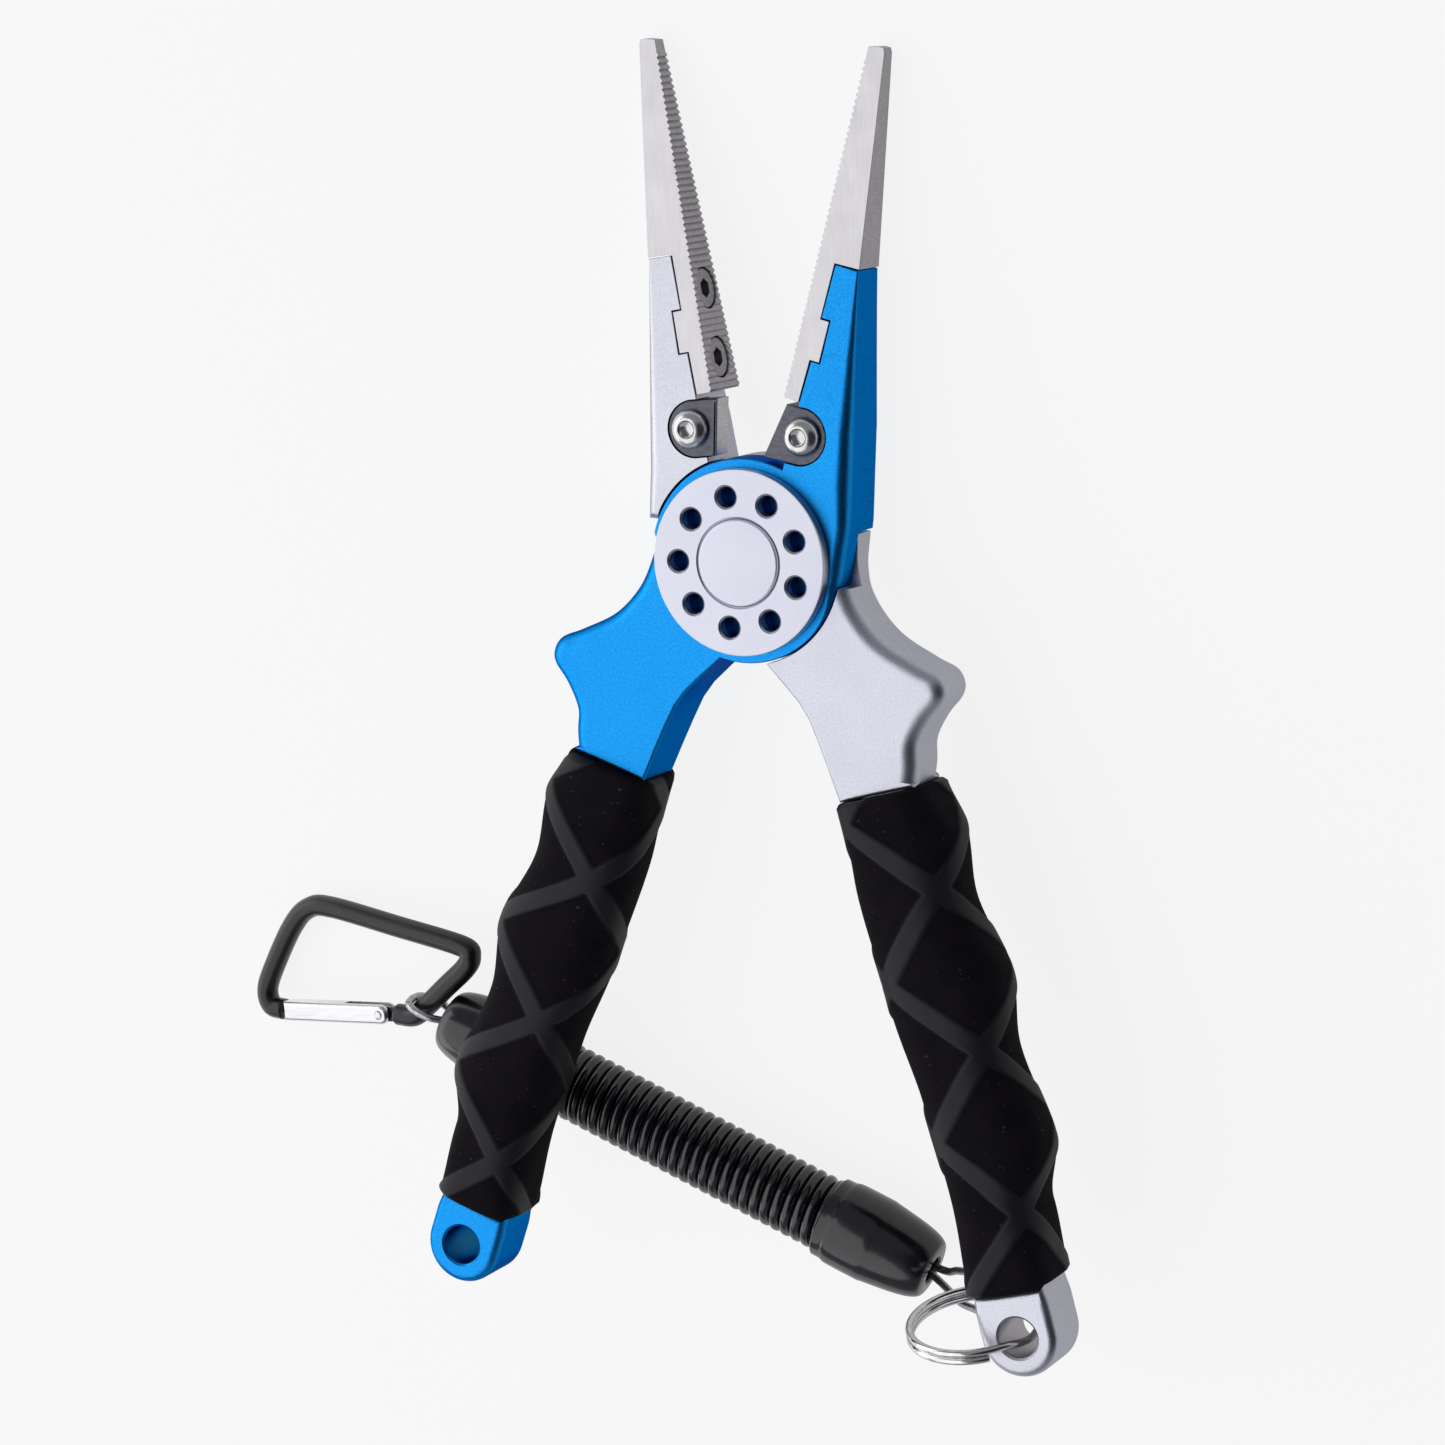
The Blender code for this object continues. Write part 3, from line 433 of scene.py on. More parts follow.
def smooth_through(points, steps):
    """Catmull-Rom curve through given points, ends included."""
    points = [Vector(point) for point in points]
    padded = [2 * points[0] - points[1], *points, 2 * points[-1] - points[-2]]
    result = []
    for a, b, c, d in zip(padded, padded[1:], padded[2:], padded[3:]):
        for k in range(steps):
            t = k / steps
            result.append(0.5 * (2 * b + (c - a) * t + (2 * a - 5 * b + 4 * c - d) * t ** 2
                                 + (3 * b - a - 3 * c + d) * t ** 3))
    result.append(points[-1])
    return result


def value_at(table, s):
    """Eased value at s in a table of (s, value) rows."""
    for (s0, v0), (s1, v1) in zip(table, table[1:]):
        if s <= s1:
            return v0 + (v1 - v0) * ease((s - s0) / (s1 - s0))
    return table[-1][1]


def arc(centre, radius, start, end, count):
    """count + 1 points from start to end, in degrees."""
    return [around(centre, radius, math.radians(start + (end - start) * k / count))
            for k in range(count + 1)]


def tube(path, radius, sides, plane=None, rounded=0):
    """A capped tube on a 3-D path; rounded adds that many end rings."""
    rings = []
    side = Vector(plane) if plane else None
    for i, point in enumerate(path):
        ahead = (path[min(i + 1, len(path) - 1)] - path[max(i - 1, 0)]).normalized()
        if side is None:
            side = ahead.orthogonal()
        side = (side - ahead * side.dot(ahead)).normalized()
        across = ahead.cross(side)

        def add_ring(centre, size):
            rings.append([centre + size * (math.cos(2 * math.pi * k / sides) * side
                                           + math.sin(2 * math.pi * k / sides) * across)
                          for k in range(sides)])

        def add_end(way, order):
            for k in order:
                angle = math.pi / 2 * (k + 0.3) / rounded
                add_ring(point + way * (ahead * radius * 0.35 * math.cos(angle)),
                         radius * math.sin(angle))

        if i == 0:
            add_end(-1, range(rounded))
        add_ring(point, radius)
        if i == len(path) - 1:
            add_end(1, reversed(range(rounded)))
    return loft(rings)


def inset(outline, distances):
    """Moves each point of a closed outline inwards by its own distance; below 0 is outwards."""
    result = []
    count = len(outline)
    for i, point in enumerate(outline):
        before = (point - outline[i - 1]).normalized()
        after = (outline[(i + 1) % count] - point).normalized()
        normal_a = Vector((-before.y, before.x))
        normal_b = Vector((-after.y, after.x))
        mitre = (normal_a + normal_b) / (1 + max(-0.4, normal_a.dot(normal_b)))
        result.append(point + mitre * distances[i])
    return result


def slab(outline, front, back, rounds, steps=8, back_rounds=None):
    """A plate with rounded rims; rounds holds one rim radius per outline point."""
    rings = []

    def add_ring(level, inwards, radii, step):
        angle = math.pi / 2 * step / steps
        shape = inset(outline, [r * (1 - math.cos(angle)) for r in radii])
        rings.append([Vector((p.x, p.y, level + inwards * r * (1 - math.sin(angle))))
                      for p, r in zip(shape, radii)])

    for step in range(steps, -1, -1):
        add_ring(front, -1, rounds, step)
    for step in range(steps + 1):
        add_ring(back, 1, back_rounds or rounds, step)
    return loft(rings)


def prism(outline, front, back):
    return loft([[Vector((p[0], p[1], front)) for p in outline],
                 [Vector((p[0], p[1], back)) for p in outline]])


def block(left, right, low, high, front, back):
    return prism([(left, low), (right, low), (right, high), (left, high)], front, back)


def taper(bm):
    """Thins the arms and jaws towards the tips."""
    bmesh.ops.bisect_plane(bm, geom=bm.verts[:] + bm.edges[:] + bm.faces[:], dist=0.0001,
                           plane_co=(0, TAPER_START_Y, 0), plane_no=(0, 1, 0))
    for vertex in bm.verts:
        amount = (vertex.co.y - TAPER_START_Y) / (TAPER_END_Y - TAPER_START_Y)
        if amount > 0:
            share = vertex.co.z / -THICKNESS
            vertex.co.z += amount * ((1 - share) * -FRONT_TAPER + share * BACK_TAPER)


def mirror_for(bm, hand):
    """The halves are drawn for the silver side; hand is -1 for the blue one."""
    if hand < 0:
        bmesh.ops.scale(bm, vec=(-1, 1, 1), verts=bm.verts)
    return bm


def add_object(name, data):
    made = bpy.data.objects.new(name, data)
    bpy.context.scene.collection.objects.link(made)
    return made


def new_object(name, bm):
    """Object in metres from a mesh in millimetres."""
    bmesh.ops.scale(bm, vec=(MM, MM, MM), verts=bm.verts)
    bmesh.ops.recalc_face_normals(bm, faces=bm.faces)
    mesh = bpy.data.meshes.new(name)
    bm.to_mesh(mesh)
    bm.free()
    return add_object(name, mesh)


def finish_piece(made, material, matrix, body, nodes, angle=30, weighted=True):
    """Smooth shading, material, place, body and the CAD nodes it stands for."""
    made.data.materials.clear()
    made.data.materials.append(material)
    made.data.shade_smooth()
    made.data.set_sharp_from_angle(angle=math.radians(angle))
    if weighted:
        modifier = made.modifiers.new("weighted", "WEIGHTED_NORMAL")
        modifier.keep_sharp = True
        modifier.weight = 80
    made.matrix_world = matrix
    bpy.context.view_layer.update()
    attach(made, body)
    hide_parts(*nodes)
    return made


def differences(*shapes):
    return [("DIFFERENCE", shape) for shape in shapes]


def carve(target, steps):
    """Applies Booleans at once; each step is (operation, bmesh)."""
    for operation, bm in steps:
        other = new_object("tool", bm)
        modifier = target.modifiers.new("carve", "BOOLEAN")
        modifier.operation = operation
        modifier.object = other
        modifier.solver = "EXACT"
        bpy.context.view_layer.update()
        graph = bpy.context.evaluated_depsgraph_get()
        mesh = bpy.data.meshes.new_from_object(target.evaluated_get(graph))
        target.modifiers.remove(modifier)
        old = target.data
        target.data = mesh
        bpy.data.meshes.remove(old)
        bpy.data.objects.remove(other, do_unlink=True)


def piece(name, bm, material, matrix, body, nodes, steps=(), angle=30, weighted=True):
    made = new_object(name, bm)
    carve(made, steps)
    return finish_piece(made, material, matrix, body, nodes, angle, weighted)


def mark(made, wanted):
    """Marks the faces that a material colours differently; wanted(centre, normal) in mm."""
    attribute = made.data.attributes.new("mark", "FLOAT", "FACE")
    attribute.data.foreach_set("value", [float(wanted(face.center / MM, face.normal))
                                         for face in made.data.polygons])


# ------------ halves

def face_x(y):
    """X of the serrated face in the open pose, on the arm's side (-X)."""
    return -(FACE_OFFSET + FACE_SLOPE * y)


def on_grip(s, d):
    """Point at distance s along the grip's axis and d to its outer side."""
    return GRIP_START + GRIP_AXIS * s + GRIP_OUT * d


def half_outline(hand):
    """Outline and rim radii: arm at -X, hub, upper handle at +X, counter-clockwise.

    The silver handle has a shoulder that stops the blue arm.  The blue arm's front
    layer flows into the hub over it, and make_half cuts its rear layer at the ledge.
    """
    silver = hand > 0
    outline = []
    rounds = []

    def add(points, rim):
        for point in points:
            outline.append(Vector(point))
            rounds.append(rim)

    add(arc((0, 0), HUB_RADIUS, 18 if silver else 12, 113, 48), HUB_RIM)
    add([(-7.35, 20.0), (-8.14, 23.2), (-9.72, 29.28), (-11.15, 28.95), (-12.5, 35.15),
         (-11.1, 35.45), (-12.95, 43.0)], 0.15)
    add([(-16.45, 42.3)], 0.3)
    for y, x, rim in ((37.0, -16.33, 0.7), (30.0, -16.2, 1.2), (20.0, -16.05, 1.9),
                      (12.0, -15.95, 2.2), (8.8, -15.93, 2.0)):
        add([(x, y)], rim)
    if silver:
        add([(-15.9, LEDGE_Y)], 1.9)
    else:
        add([(-15.9, 6.4), (-15.78, LEDGE_Y), (-15.5, 3.2), (-15.27, 1.6), (-15.08, 0.2)], 1.9)
        add([(-14.88, -1.4)], 1.8)
    for k, point in enumerate(arc((0, 0), HUB_RADIUS, 161 if silver else 191, 284, 60)):
        add([point], HUB_RIM + 1.5 * max(0.0, 1 - k / 22) ** 2)
    add([(6.5, -17.3), (9.0, -19.8), (10.7, -22.2), (12.2, -25.4), (13.7, -28.8)], 0.5)
    add([on_grip(0.0, -6.0), on_grip(0.0, 6.0)], 0.6)
    shoulder = [(15.75, -0.6), (15.45, 4.5)] if silver else [(15.5, -0.6), (14.95, 2.0)]
    handle_top = smooth_through([on_grip(0.0, 6.0), (27.5, -27.4), (27.5, -24.2), (29.2, -20.6),
                                 (31.2, -17.9), (31.5, -15.9), (30.3, -13.9), (27.0, -12.45),
                                 (21.4, -9.5), (17.5, -5.2), *shoulder], 8)
    for point in handle_top[1:]:
        above = max(0.0, point.y - SHOULDER_STEP_Y) if silver else 0.0
        add([point], EDGE_ROUND - 0.3 * above)
    return outline, rounds


def core_ring(s, half_width, half_thickness, points=32):
    """Rounded box section across the handle's core."""
    ring = []
    for k in range(points):
        angle = 2 * math.pi * k / points
        u = signed_power(math.cos(angle), CORE_SQUARE) * half_width
        w = signed_power(math.sin(angle), CORE_SQUARE) * half_thickness
        place = on_grip(s, CORE_OFFSET + u)
        ring.append(Vector((place.x, place.y, MID_Z + w)))
    return ring


def lug_outline():
    centre = on_grip(LUG_CENTRE_S, LUG_CENTRE_D)
    start = math.degrees(math.atan2(GRIP_OUT.y, GRIP_OUT.x))
    outline = [on_grip(GRIP_LENGTH + 3.0, LUG_CENTRE_D + LUG_RADIUS),
               on_grip(GRIP_LENGTH + 0.3, LUG_CENTRE_D + LUG_RADIUS - 0.35),
               on_grip(GRIP_LENGTH + 0.3, LUG_CENTRE_D - LUG_RADIUS + 0.35),
               on_grip(GRIP_LENGTH + 3.0, LUG_CENTRE_D - LUG_RADIUS)]
    outline.extend(arc(centre, LUG_RADIUS, start - 180, start, 40))
    return outline


def place_on_face(bm, y):
    """Moves a piece made along Z so that Z points out of the serrated face."""
    normal = Vector((1.0, FACE_SLOPE, 0.0)).normalized()
    across = Vector((0, 0, 1))
    turn = Matrix((normal.cross(across), across, normal)).transposed()
    bmesh.ops.rotate(bm, verts=bm.verts, cent=(0, 0, 0), matrix=turn)
    middle = (y - TAPER_START_Y) / (TAPER_END_Y - TAPER_START_Y)
    z = MID_Z + middle * (BACK_TAPER - FRONT_TAPER) / 2
    bmesh.ops.translate(bm, verts=bm.verts, vec=(face_x(y), y, z))
    return bm


def cutter_outline(hand):
    """Rounded block; one edge is straight and the other slanted."""
    if hand > 0:
        edge = [Vector((-4.7, 14.9)), Vector((-4.7, 23.1))]
    else:
        edge = [Vector((-2.75, 15.3)), Vector((-6.2, 23.0))]
    return edge + arc((-CUTTER_CENTRE[0], CUTTER_CENTRE[1]), CUTTER_ROUND, 95, 275, 36)


def disc_drill(place):
    return revolve([(0, 3), (DISC_HOLE_RADIUS + 0.28, 3), (DISC_HOLE_RADIUS + 0.28, DISC_FRONT),
                    (DISC_HOLE_RADIUS, DISC_FRONT - 0.25), (DISC_HOLE_RADIUS, -2.2), (0, -2.2)],
                   36, place)


def disc_hole_places():
    for k in range(DISC_HOLES):
        angle = DISC_HOLE_START - 2 * math.pi * k / DISC_HOLES
        yield DISC_HOLE_CIRCLE * math.cos(angle), DISC_HOLE_CIRCLE * math.sin(angle)


def make_half(side, hand, body, material):
    """Handle, hub and arm; the hub keeps its rear layer on silver, its front one on blue."""
    outline, rounds = half_outline(hand)
    back_rounds = [min(rim, 0.4) if point.x < -15 else rim for point, rim in zip(outline, rounds)]
    plate = slab(outline, 0.0, -THICKNESS, rounds, back_rounds=back_rounds)
    taper(plate)
    lap_radius = HUB_RADIUS + RUN_GAP
    rear_lap = MID_Z - LAP_GAP / 2
    front_lap = MID_Z + LAP_GAP / 2
    behind = -THICKNESS - 1
    if hand > 0:
        lap = cylinder(lap_radius, 1, rear_lap, 144)
        bore = cylinder(BARREL_RADIUS + RUN_GAP, 1, behind, 64)
        shoulder = block(10, 20, SHOULDER_STEP_Y, 8, 1.0, rear_lap)
        steps = differences(lap, bore, shoulder)
    else:
        lap = cylinder(lap_radius, front_lap, behind, 144)
        bore = revolve([(0, 2), (7.1, 2), (7.1, -1.5), (BUSH_RADIUS + 0.2, -1.5),
                        (BUSH_RADIUS + 0.2, -THICKNESS), (0, -THICKNESS)], 64)
        ledge = block(10, 20, -7, LEDGE_Y, front_lap, behind)
        drills = [disc_drill(place) for place in disc_hole_places()]
        steps = differences(lap, bore, ledge, *drills)
    core = loft([core_ring(s, CORE_HALF_WIDTH, CORE_HALF_THICKNESS) for s in (-4.0, 77.0)])
    rim = lug_outline()
    lug = slab(rim, 0.0, -THICKNESS, [1.5] * len(rim))
    centre = on_grip(LUG_CENTRE_S, LUG_CENTRE_D)
    hole = revolve([(0, 1), (LUG_HOLE_RADIUS + 0.9, 1), (LUG_HOLE_RADIUS + 0.45, 0.0),
                    (LUG_HOLE_RADIUS + 0.12, -0.25), (LUG_HOLE_RADIUS, -0.7),
                    (LUG_HOLE_RADIUS, -THICKNESS + 0.6),
                    (LUG_HOLE_RADIUS + 1.0, behind), (0, behind)], 56, centre)
    seat = cutter_outline(hand)
    pocket = prism(inset(seat, [-0.14] * len(seat)), 1.0, POCKET_FLOOR)
    steps += [("UNION", mirror_for(core, hand)), ("UNION", mirror_for(lug, hand))]
    steps += differences(mirror_for(hole, hand), mirror_for(pocket, hand))
    made = piece(side + "_handle_plate", mirror_for(plate, hand), material, TOOL, body,
                 [side + "_half"], steps, angle=28)
    # marks the walls of the disc holes and of the lug hole, which get painted shade
    mark(made, lambda place, normal: (
        any(math.hypot(place.x - x, place.y - y) < DISC_HOLE_RADIUS + 0.1 and place.z < -0.05
            for x, y in disc_hole_places())
        or (math.hypot(place.x - hand * centre.x, place.y - centre.y) < LUG_HOLE_RADIUS + 0.1
            and abs(normal.z) < 0.2)))


# ------------ jaws

def jaw_outline():
    """Serrated insert from its lower end, with the square key that locks it in the arm."""
    points = [Vector((face_x(23.95) - 0.12, 23.95))]
    y = 24.4
    while y < 72.0:
        depth = TOOTH_DEPTH if y > LOW_TEETH_END_Y else LOW_TOOTH_DEPTH
        points.append(Vector((face_x(y) - depth, y - TOOTH_PITCH * 0.38)))
        points.append(Vector((face_x(y), y - TOOTH_PITCH * 0.12)))
        points.append(Vector((face_x(y), y + TOOTH_PITCH * 0.12)))
        points.append(Vector((face_x(y) - depth, y + TOOTH_PITCH * 0.38)))
        y += TOOTH_PITCH
    points.extend(Vector(p) for p in ((-16.65, 73.4), (-18.2, 73.5), (-18.95, 73.3),
                                      (-19.1, 72.6),
                                      (-16.6, 42.5), (-12.78, 43.2), (-10.93, 35.27),
                                      (-12.3, 34.98), (-10.98, 29.15), (-9.55, 29.45),
                                      (-8.0, 23.4)))
    return points


def jaw_screw(gap):
    """Countersunk screw along Z; a gap above 0 makes the hole for it."""
    head, shank = JAW_SCREW_HEAD + gap, JAW_SCREW_SHANK + gap
    top, bevel = (-0.3, 0.12) if gap == 0 else (1.0, 0.0)
    return revolve([(0, top), (head - bevel, top), (head, top - 0.12),
                    (head, -0.9), (shank, -2.2 - gap), (shank, -6.4 - gap), (0, -6.4 - gap)], 48)


def make_jaw(side, hand, body):
    outline = jaw_outline()
    plate = slab(outline, 0.0, -THICKNESS, [0.1] * len(outline), 2)
    taper(plate)

    def on_face(bm, y):
        return mirror_for(place_on_face(bm, y), hand)

    holes = [on_face(jaw_screw(0.22), y) for y in JAW_SCREW_Y]
    made = piece(side + "_jaw_insert", mirror_for(plate, hand), JAW, TOOL, body,
                 [side + "_jaw"], differences(*holes), angle=25)
    # marks the sideways faces, whose darker colour is partly painted shade
    mark(made, lambda place, normal: abs(normal.x) > 0.5)
    for number, y in enumerate(JAW_SCREW_Y, 1):
        socket = on_face(cylinder(JAW_SCREW_HEX, 1, -1.8, 6), y)
        piece(f"{side}_jaw_bolt_{number}", on_face(jaw_screw(0), y), JAW_SCREW, TOOL, body,
              [f"{side}_jaw_screw_{number}"], differences(socket))


# ------------ cutters

def make_cutter(side, hand, body):
    outline = cutter_outline(hand)
    plate = slab(outline, -0.12, POCKET_FLOOR + 0.2, [0.22] * len(outline), 3)
    place = (-CUTTER_SCREW[0], CUTTER_SCREW[1])
    shapes = [mirror_for(cylinder(1.65, 1, -6, 36, place), hand)]
    if hand > 0:
        shapes.append(block(-5.2, -4.95, 14.0, 22.6, 1.0, -0.6))
    made = piece(side + "_cutter_block", mirror_for(plate, hand), CUTTER, TOOL, body,
                 [side + "_cutter"], differences(*shapes))
    mark(made, lambda place, normal: normal.x * hand > 0.7 and place.x * hand > -5.0)
    profile = [(0, 1.66), (1.45, 1.66), (1.75, 1.58), (2.15, 1.36), (2.5, 1.02), (2.72, 0.68),
               (2.83, 0.32), (2.85, 0.1), (1.4, 0.1), (1.4, -4.0), (0, -4.0)]
    funnel = mirror_for(revolve([(0, 2), (1.7, 2), (1.1, 1.4), (0, 1.4)], 36, place), hand)
    socket = mirror_for(cylinder(CUTTER_SCREW_HEX, 2, 0.3, 6, place), hand)
    piece(side + "_cutter_bolt", mirror_for(revolve(profile, 64, place), hand), BRIGHT, TOOL, body,
          [side + "_cutter_screw"], differences(funnel, socket), weighted=False)


# ------------ grips

# Inner side, outer side and squareness of the section along the grip
GRIP_INNER = [(0, -6.9), (14, -8.1), (30, -7.5), (46, -5.9), (61, -5.3), (GRIP_LENGTH, -5.6)]
GRIP_OUTER = [(0, 7.2), (8.5, 9.5), (17, 8.5), (30, 11.0), (40, 9.4), (54, 11.3), (63, 8.5),
              (GRIP_LENGTH, 7.6)]
GRIP_SQUARE = [(0, 0.52), (11, 0.78), (60, 0.78), (GRIP_LENGTH, 0.56)]
GRIP_STATIONS = 230
GRIP_SIDES = 136
SECTION_SAMPLES = 240


def band_at(s, turn, crossing):
    """1 on the criss-cross bands, 0 between them; turn runs once round the grip."""
    lean = math.cos(math.atan2(GRIP_GIRTH / BAND_LEAD, 1.0))
    distances = []
    for way in (1, -1):
        offset = (way * turn - (s - crossing) / BAND_LEAD) * 2
        distances.append(abs(offset - round(offset)) / 2 * GRIP_GIRTH * lean)
    return ease(((BAND_WIDTH + BAND_EDGE) / 2 - min(distances)) / BAND_EDGE)


def grip_section(s, shrink):
    """Section points with equal arc steps; starts at the front, goes outwards."""
    low = value_at(GRIP_INNER, s) + shrink
    high = value_at(GRIP_OUTER, s) - shrink
    power = value_at(GRIP_SQUARE, s)
    dense = []
    for k in range(SECTION_SAMPLES):
        angle = math.pi / 2 - 2 * math.pi * k / SECTION_SAMPLES
        u = signed_power(math.cos(angle), power) * (high - low) / 2
        w = signed_power(math.sin(angle), power)
        dense.append(Vector(((low + high) / 2 + u, w * (GRIP_HALF_THICKNESS - shrink))))
    lengths = [0.0]
    for a, b in zip(dense, dense[1:] + dense[:1]):
        lengths.append(lengths[-1] + (b - a).length)
    result = []
    index = 0
    for k in range(GRIP_SIDES):
        wanted = lengths[-1] * k / GRIP_SIDES
        while lengths[index + 1] < wanted:
            index += 1
        t = (wanted - lengths[index]) / (lengths[index + 1] - lengths[index])
        result.append(dense[index].lerp(dense[(index + 1) % SECTION_SAMPLES], t))
    return result


def make_grip(side, hand, body):
    """Sleeve with a bore for the handle's core; "band" is 1 on the raised bands."""
    first, last = 0.15, GRIP_LENGTH + 0.2
    crossing, shift = BAND_PLACES[side]
    rows = []
    bands = []
    stations = [(first, 0.5), (first + 0.06, 0.22), (first + 0.25, 0.06)]
    inner_length = last - first - 2 * GRIP_END_ROUND
    for k in range(GRIP_STATIONS + 1):
        stations.append((first + GRIP_END_ROUND + inner_length * k / GRIP_STATIONS, 0.0))
    stations += [(last - 0.25, 0.06), (last - 0.06, 0.22), (last, 0.5)]
    for s, shrink in stations:
        section = grip_section(s, shrink)
        fade = 1.0 if shrink == 0.0 else 0.3
        row = []
        for k, point in enumerate(section):
            before = section[k - 1]
            after = section[(k + 1) % GRIP_SIDES]
            along = (after - before).normalized()
            normal = Vector((-along.y, along.x))
            if normal.dot(point - Vector((1.0, 0.0))) < 0:
                normal = -normal
            band = band_at(s, k / GRIP_SIDES - shift, crossing)
            moved = point + normal * (BAND_HEIGHT * band * fade - SKIN_SINK)
            place = on_grip(s, moved.x)
            row.append(Vector((place.x, place.y, MID_Z + moved.y)))
            bands.append(band)
        rows.append(row)
    for s in (last, first):
        rows.append(core_ring(s, CORE_HALF_WIDTH + RUN_GAP, CORE_HALF_THICKNESS + RUN_GAP,
                              GRIP_SIDES))
        bands += [0.0] * GRIP_SIDES
    # The bore's rings start at the same side as the outer ones and run the same way
    turned = []
    for row in rows[-2:]:
        start = min(range(GRIP_SIDES), key=lambda k: (row[k] - rows[0][0]).length)
        turned.append([row[(start - k) % GRIP_SIDES] for k in range(GRIP_SIDES)])
    rows[-2:] = turned
    made = new_object(side + "_grip_sleeve", mirror_for(loft(rows, loop=True), hand))
    attribute = made.data.attributes.new("band", "FLOAT", "POINT")
    attribute.data.foreach_set("value", bands)
    finish_piece(made, GRIP, TOOL, body, [side + "_grip"], 60, weighted=False)


# ------------ pivot

def make_pivot():
    """Drilled disc with its cap in front, and the barrel with its flange behind."""
    rim = [(6.36, 1.7), (6.66, DISC_FRONT), (DISC_RADIUS - 0.25, DISC_FRONT),
           (DISC_RADIUS - 0.08, DISC_FRONT - 0.08), (DISC_RADIUS, DISC_FRONT - 0.25),
           (DISC_RADIUS, 0.25), (6.9, 0.25), (6.9, -1.2), (1.8, -1.2), (1.8, -0.4), (6.36, -0.4)]
    drills = [disc_drill(place) for place in disc_hole_places()]
    piece("disc_plate", revolve(rim, 160), DISC, TOOL, "blue_handle", ["pivot_disc"],
          differences(*drills))
    piece("disc_cap", revolve([(0, 1.5), (CAP_RADIUS, 1.5), (CAP_RADIUS, 1.78),
                               (CAP_RADIUS - 0.1, 1.98), (CAP_RADIUS - 0.38, 2.14),
                               (0, 2.2)], 96),
          DISC, TOOL, "blue_handle", ["pivot_cap"])
    piece("barrel_flange", revolve([
        (0, -6.8), (1.7, -6.8), (1.7, -1.5), (BARREL_RADIUS - 0.2, -1.5), (BARREL_RADIUS, -1.7),
        (BARREL_RADIUS, -10.2), (FLANGE_RADIUS, -10.2), (FLANGE_RADIUS, -11.2),
        (FLANGE_RADIUS - 0.2, -11.5), (FLANGE_RADIUS - 0.6, -11.7), (0, -11.7)], 96),
          DISC, TOOL, "silver_handle", ["pivot_barrel"])


# ------------ lanyard

def flat_move(vector):
    """Move by a vector in millimetres."""
    return Matrix.Translation(Vector(vector) * MM)


def make_ring():
    """Two turns of wire with a jog where one turn passes over to the other."""
    lug = on_grip(LUG_CENTRE_S, LUG_CENTRE_D)
    place = TOOL @ (Vector((lug.x, lug.y, MID_Z)) * MM)
    matrix = (Matrix.Translation(place) @ Matrix.Rotation(RING_YAW, 4, "Z")
              @ Matrix.Rotation(RING_LEAN, 4, "X"))
    path = []
    count = 260
    for k in range(count + 1):
        angle = RING_START + (RING_END - RING_START) * k / count
        side = RING_WIRE * (1 - 2 * ease((angle - JOG_START) / (JOG_END - JOG_START)))
        path.append(Vector((RING_RADIUS * math.cos(angle) + RING_RADIUS - RING_SLIDE, side,
                            RING_RADIUS * math.sin(angle))))
    piece("ring_wire", tube(path, RING_WIRE - 0.02, 20, (0, 1, 0), 2), RING_STEEL, matrix, "ring",
          ["split_ring"], angle=50, weighted=False)


def boot_rings(length):
    """Collar, full body up to a crease, then a tapering nose with a rounded end."""
    radius = BOOT_RADIUS
    socket = COIL_RADIUS + 0.2
    body = smooth_through([(radius - 0.35, 0.25, 0), (radius - 0.3, 1.6, 0), (radius - 0.05, 2.6, 0),
                           (radius, length * 0.3, 0), (radius - 0.02, length * 0.46, 0)], 5)
    nose = smooth_through([(radius - 0.12, length * 0.49, 0), (radius - 0.75, length * 0.75, 0),
                           (radius - 1.35, length * 0.9, 0), (radius - 2.1, length - 0.35, 0),
                           (radius - 3.0, length, 0)], 6)
    return ([(socket, 0.0), (radius - 0.6, 0.0)] + [(p.x, p.y) for p in body + nose]
            + [(BOOT_BORE + 0.3, length), (BOOT_BORE, length - 0.3), (BOOT_BORE, COIL_ENTRY + 0.3),
               (socket, COIL_ENTRY + 0.3)])


def make_boot(name, node, length, matrix):
    bm = revolve(boot_rings(length), 96)
    along_x = Matrix.Rotation(math.pi / 2, 3, "Y")
    bmesh.ops.rotate(bm, verts=bm.verts, cent=(0, 0, 0), matrix=along_x)
    return piece(name, bm, BOOT, matrix, "lanyard", [node], angle=40, weighted=False)


def make_wire_loop(name, node, route, matrix):
    """Two legs that meet at the end; a route row is (middle, sideways, half spread)."""
    legs = []
    for side in (1, -1):
        points = [Vector(middle) + Vector(way).normalized() * (spread * side)
                  for middle, way, spread in route]
        legs.append(smooth_through(points, 12))
    path = legs[0] + legs[1][-2::-1]
    return piece(name, tube(path, WIRE_RADIUS, 18), LOOP_STEEL, matrix, "lanyard", [node],
                 angle=60, weighted=False)


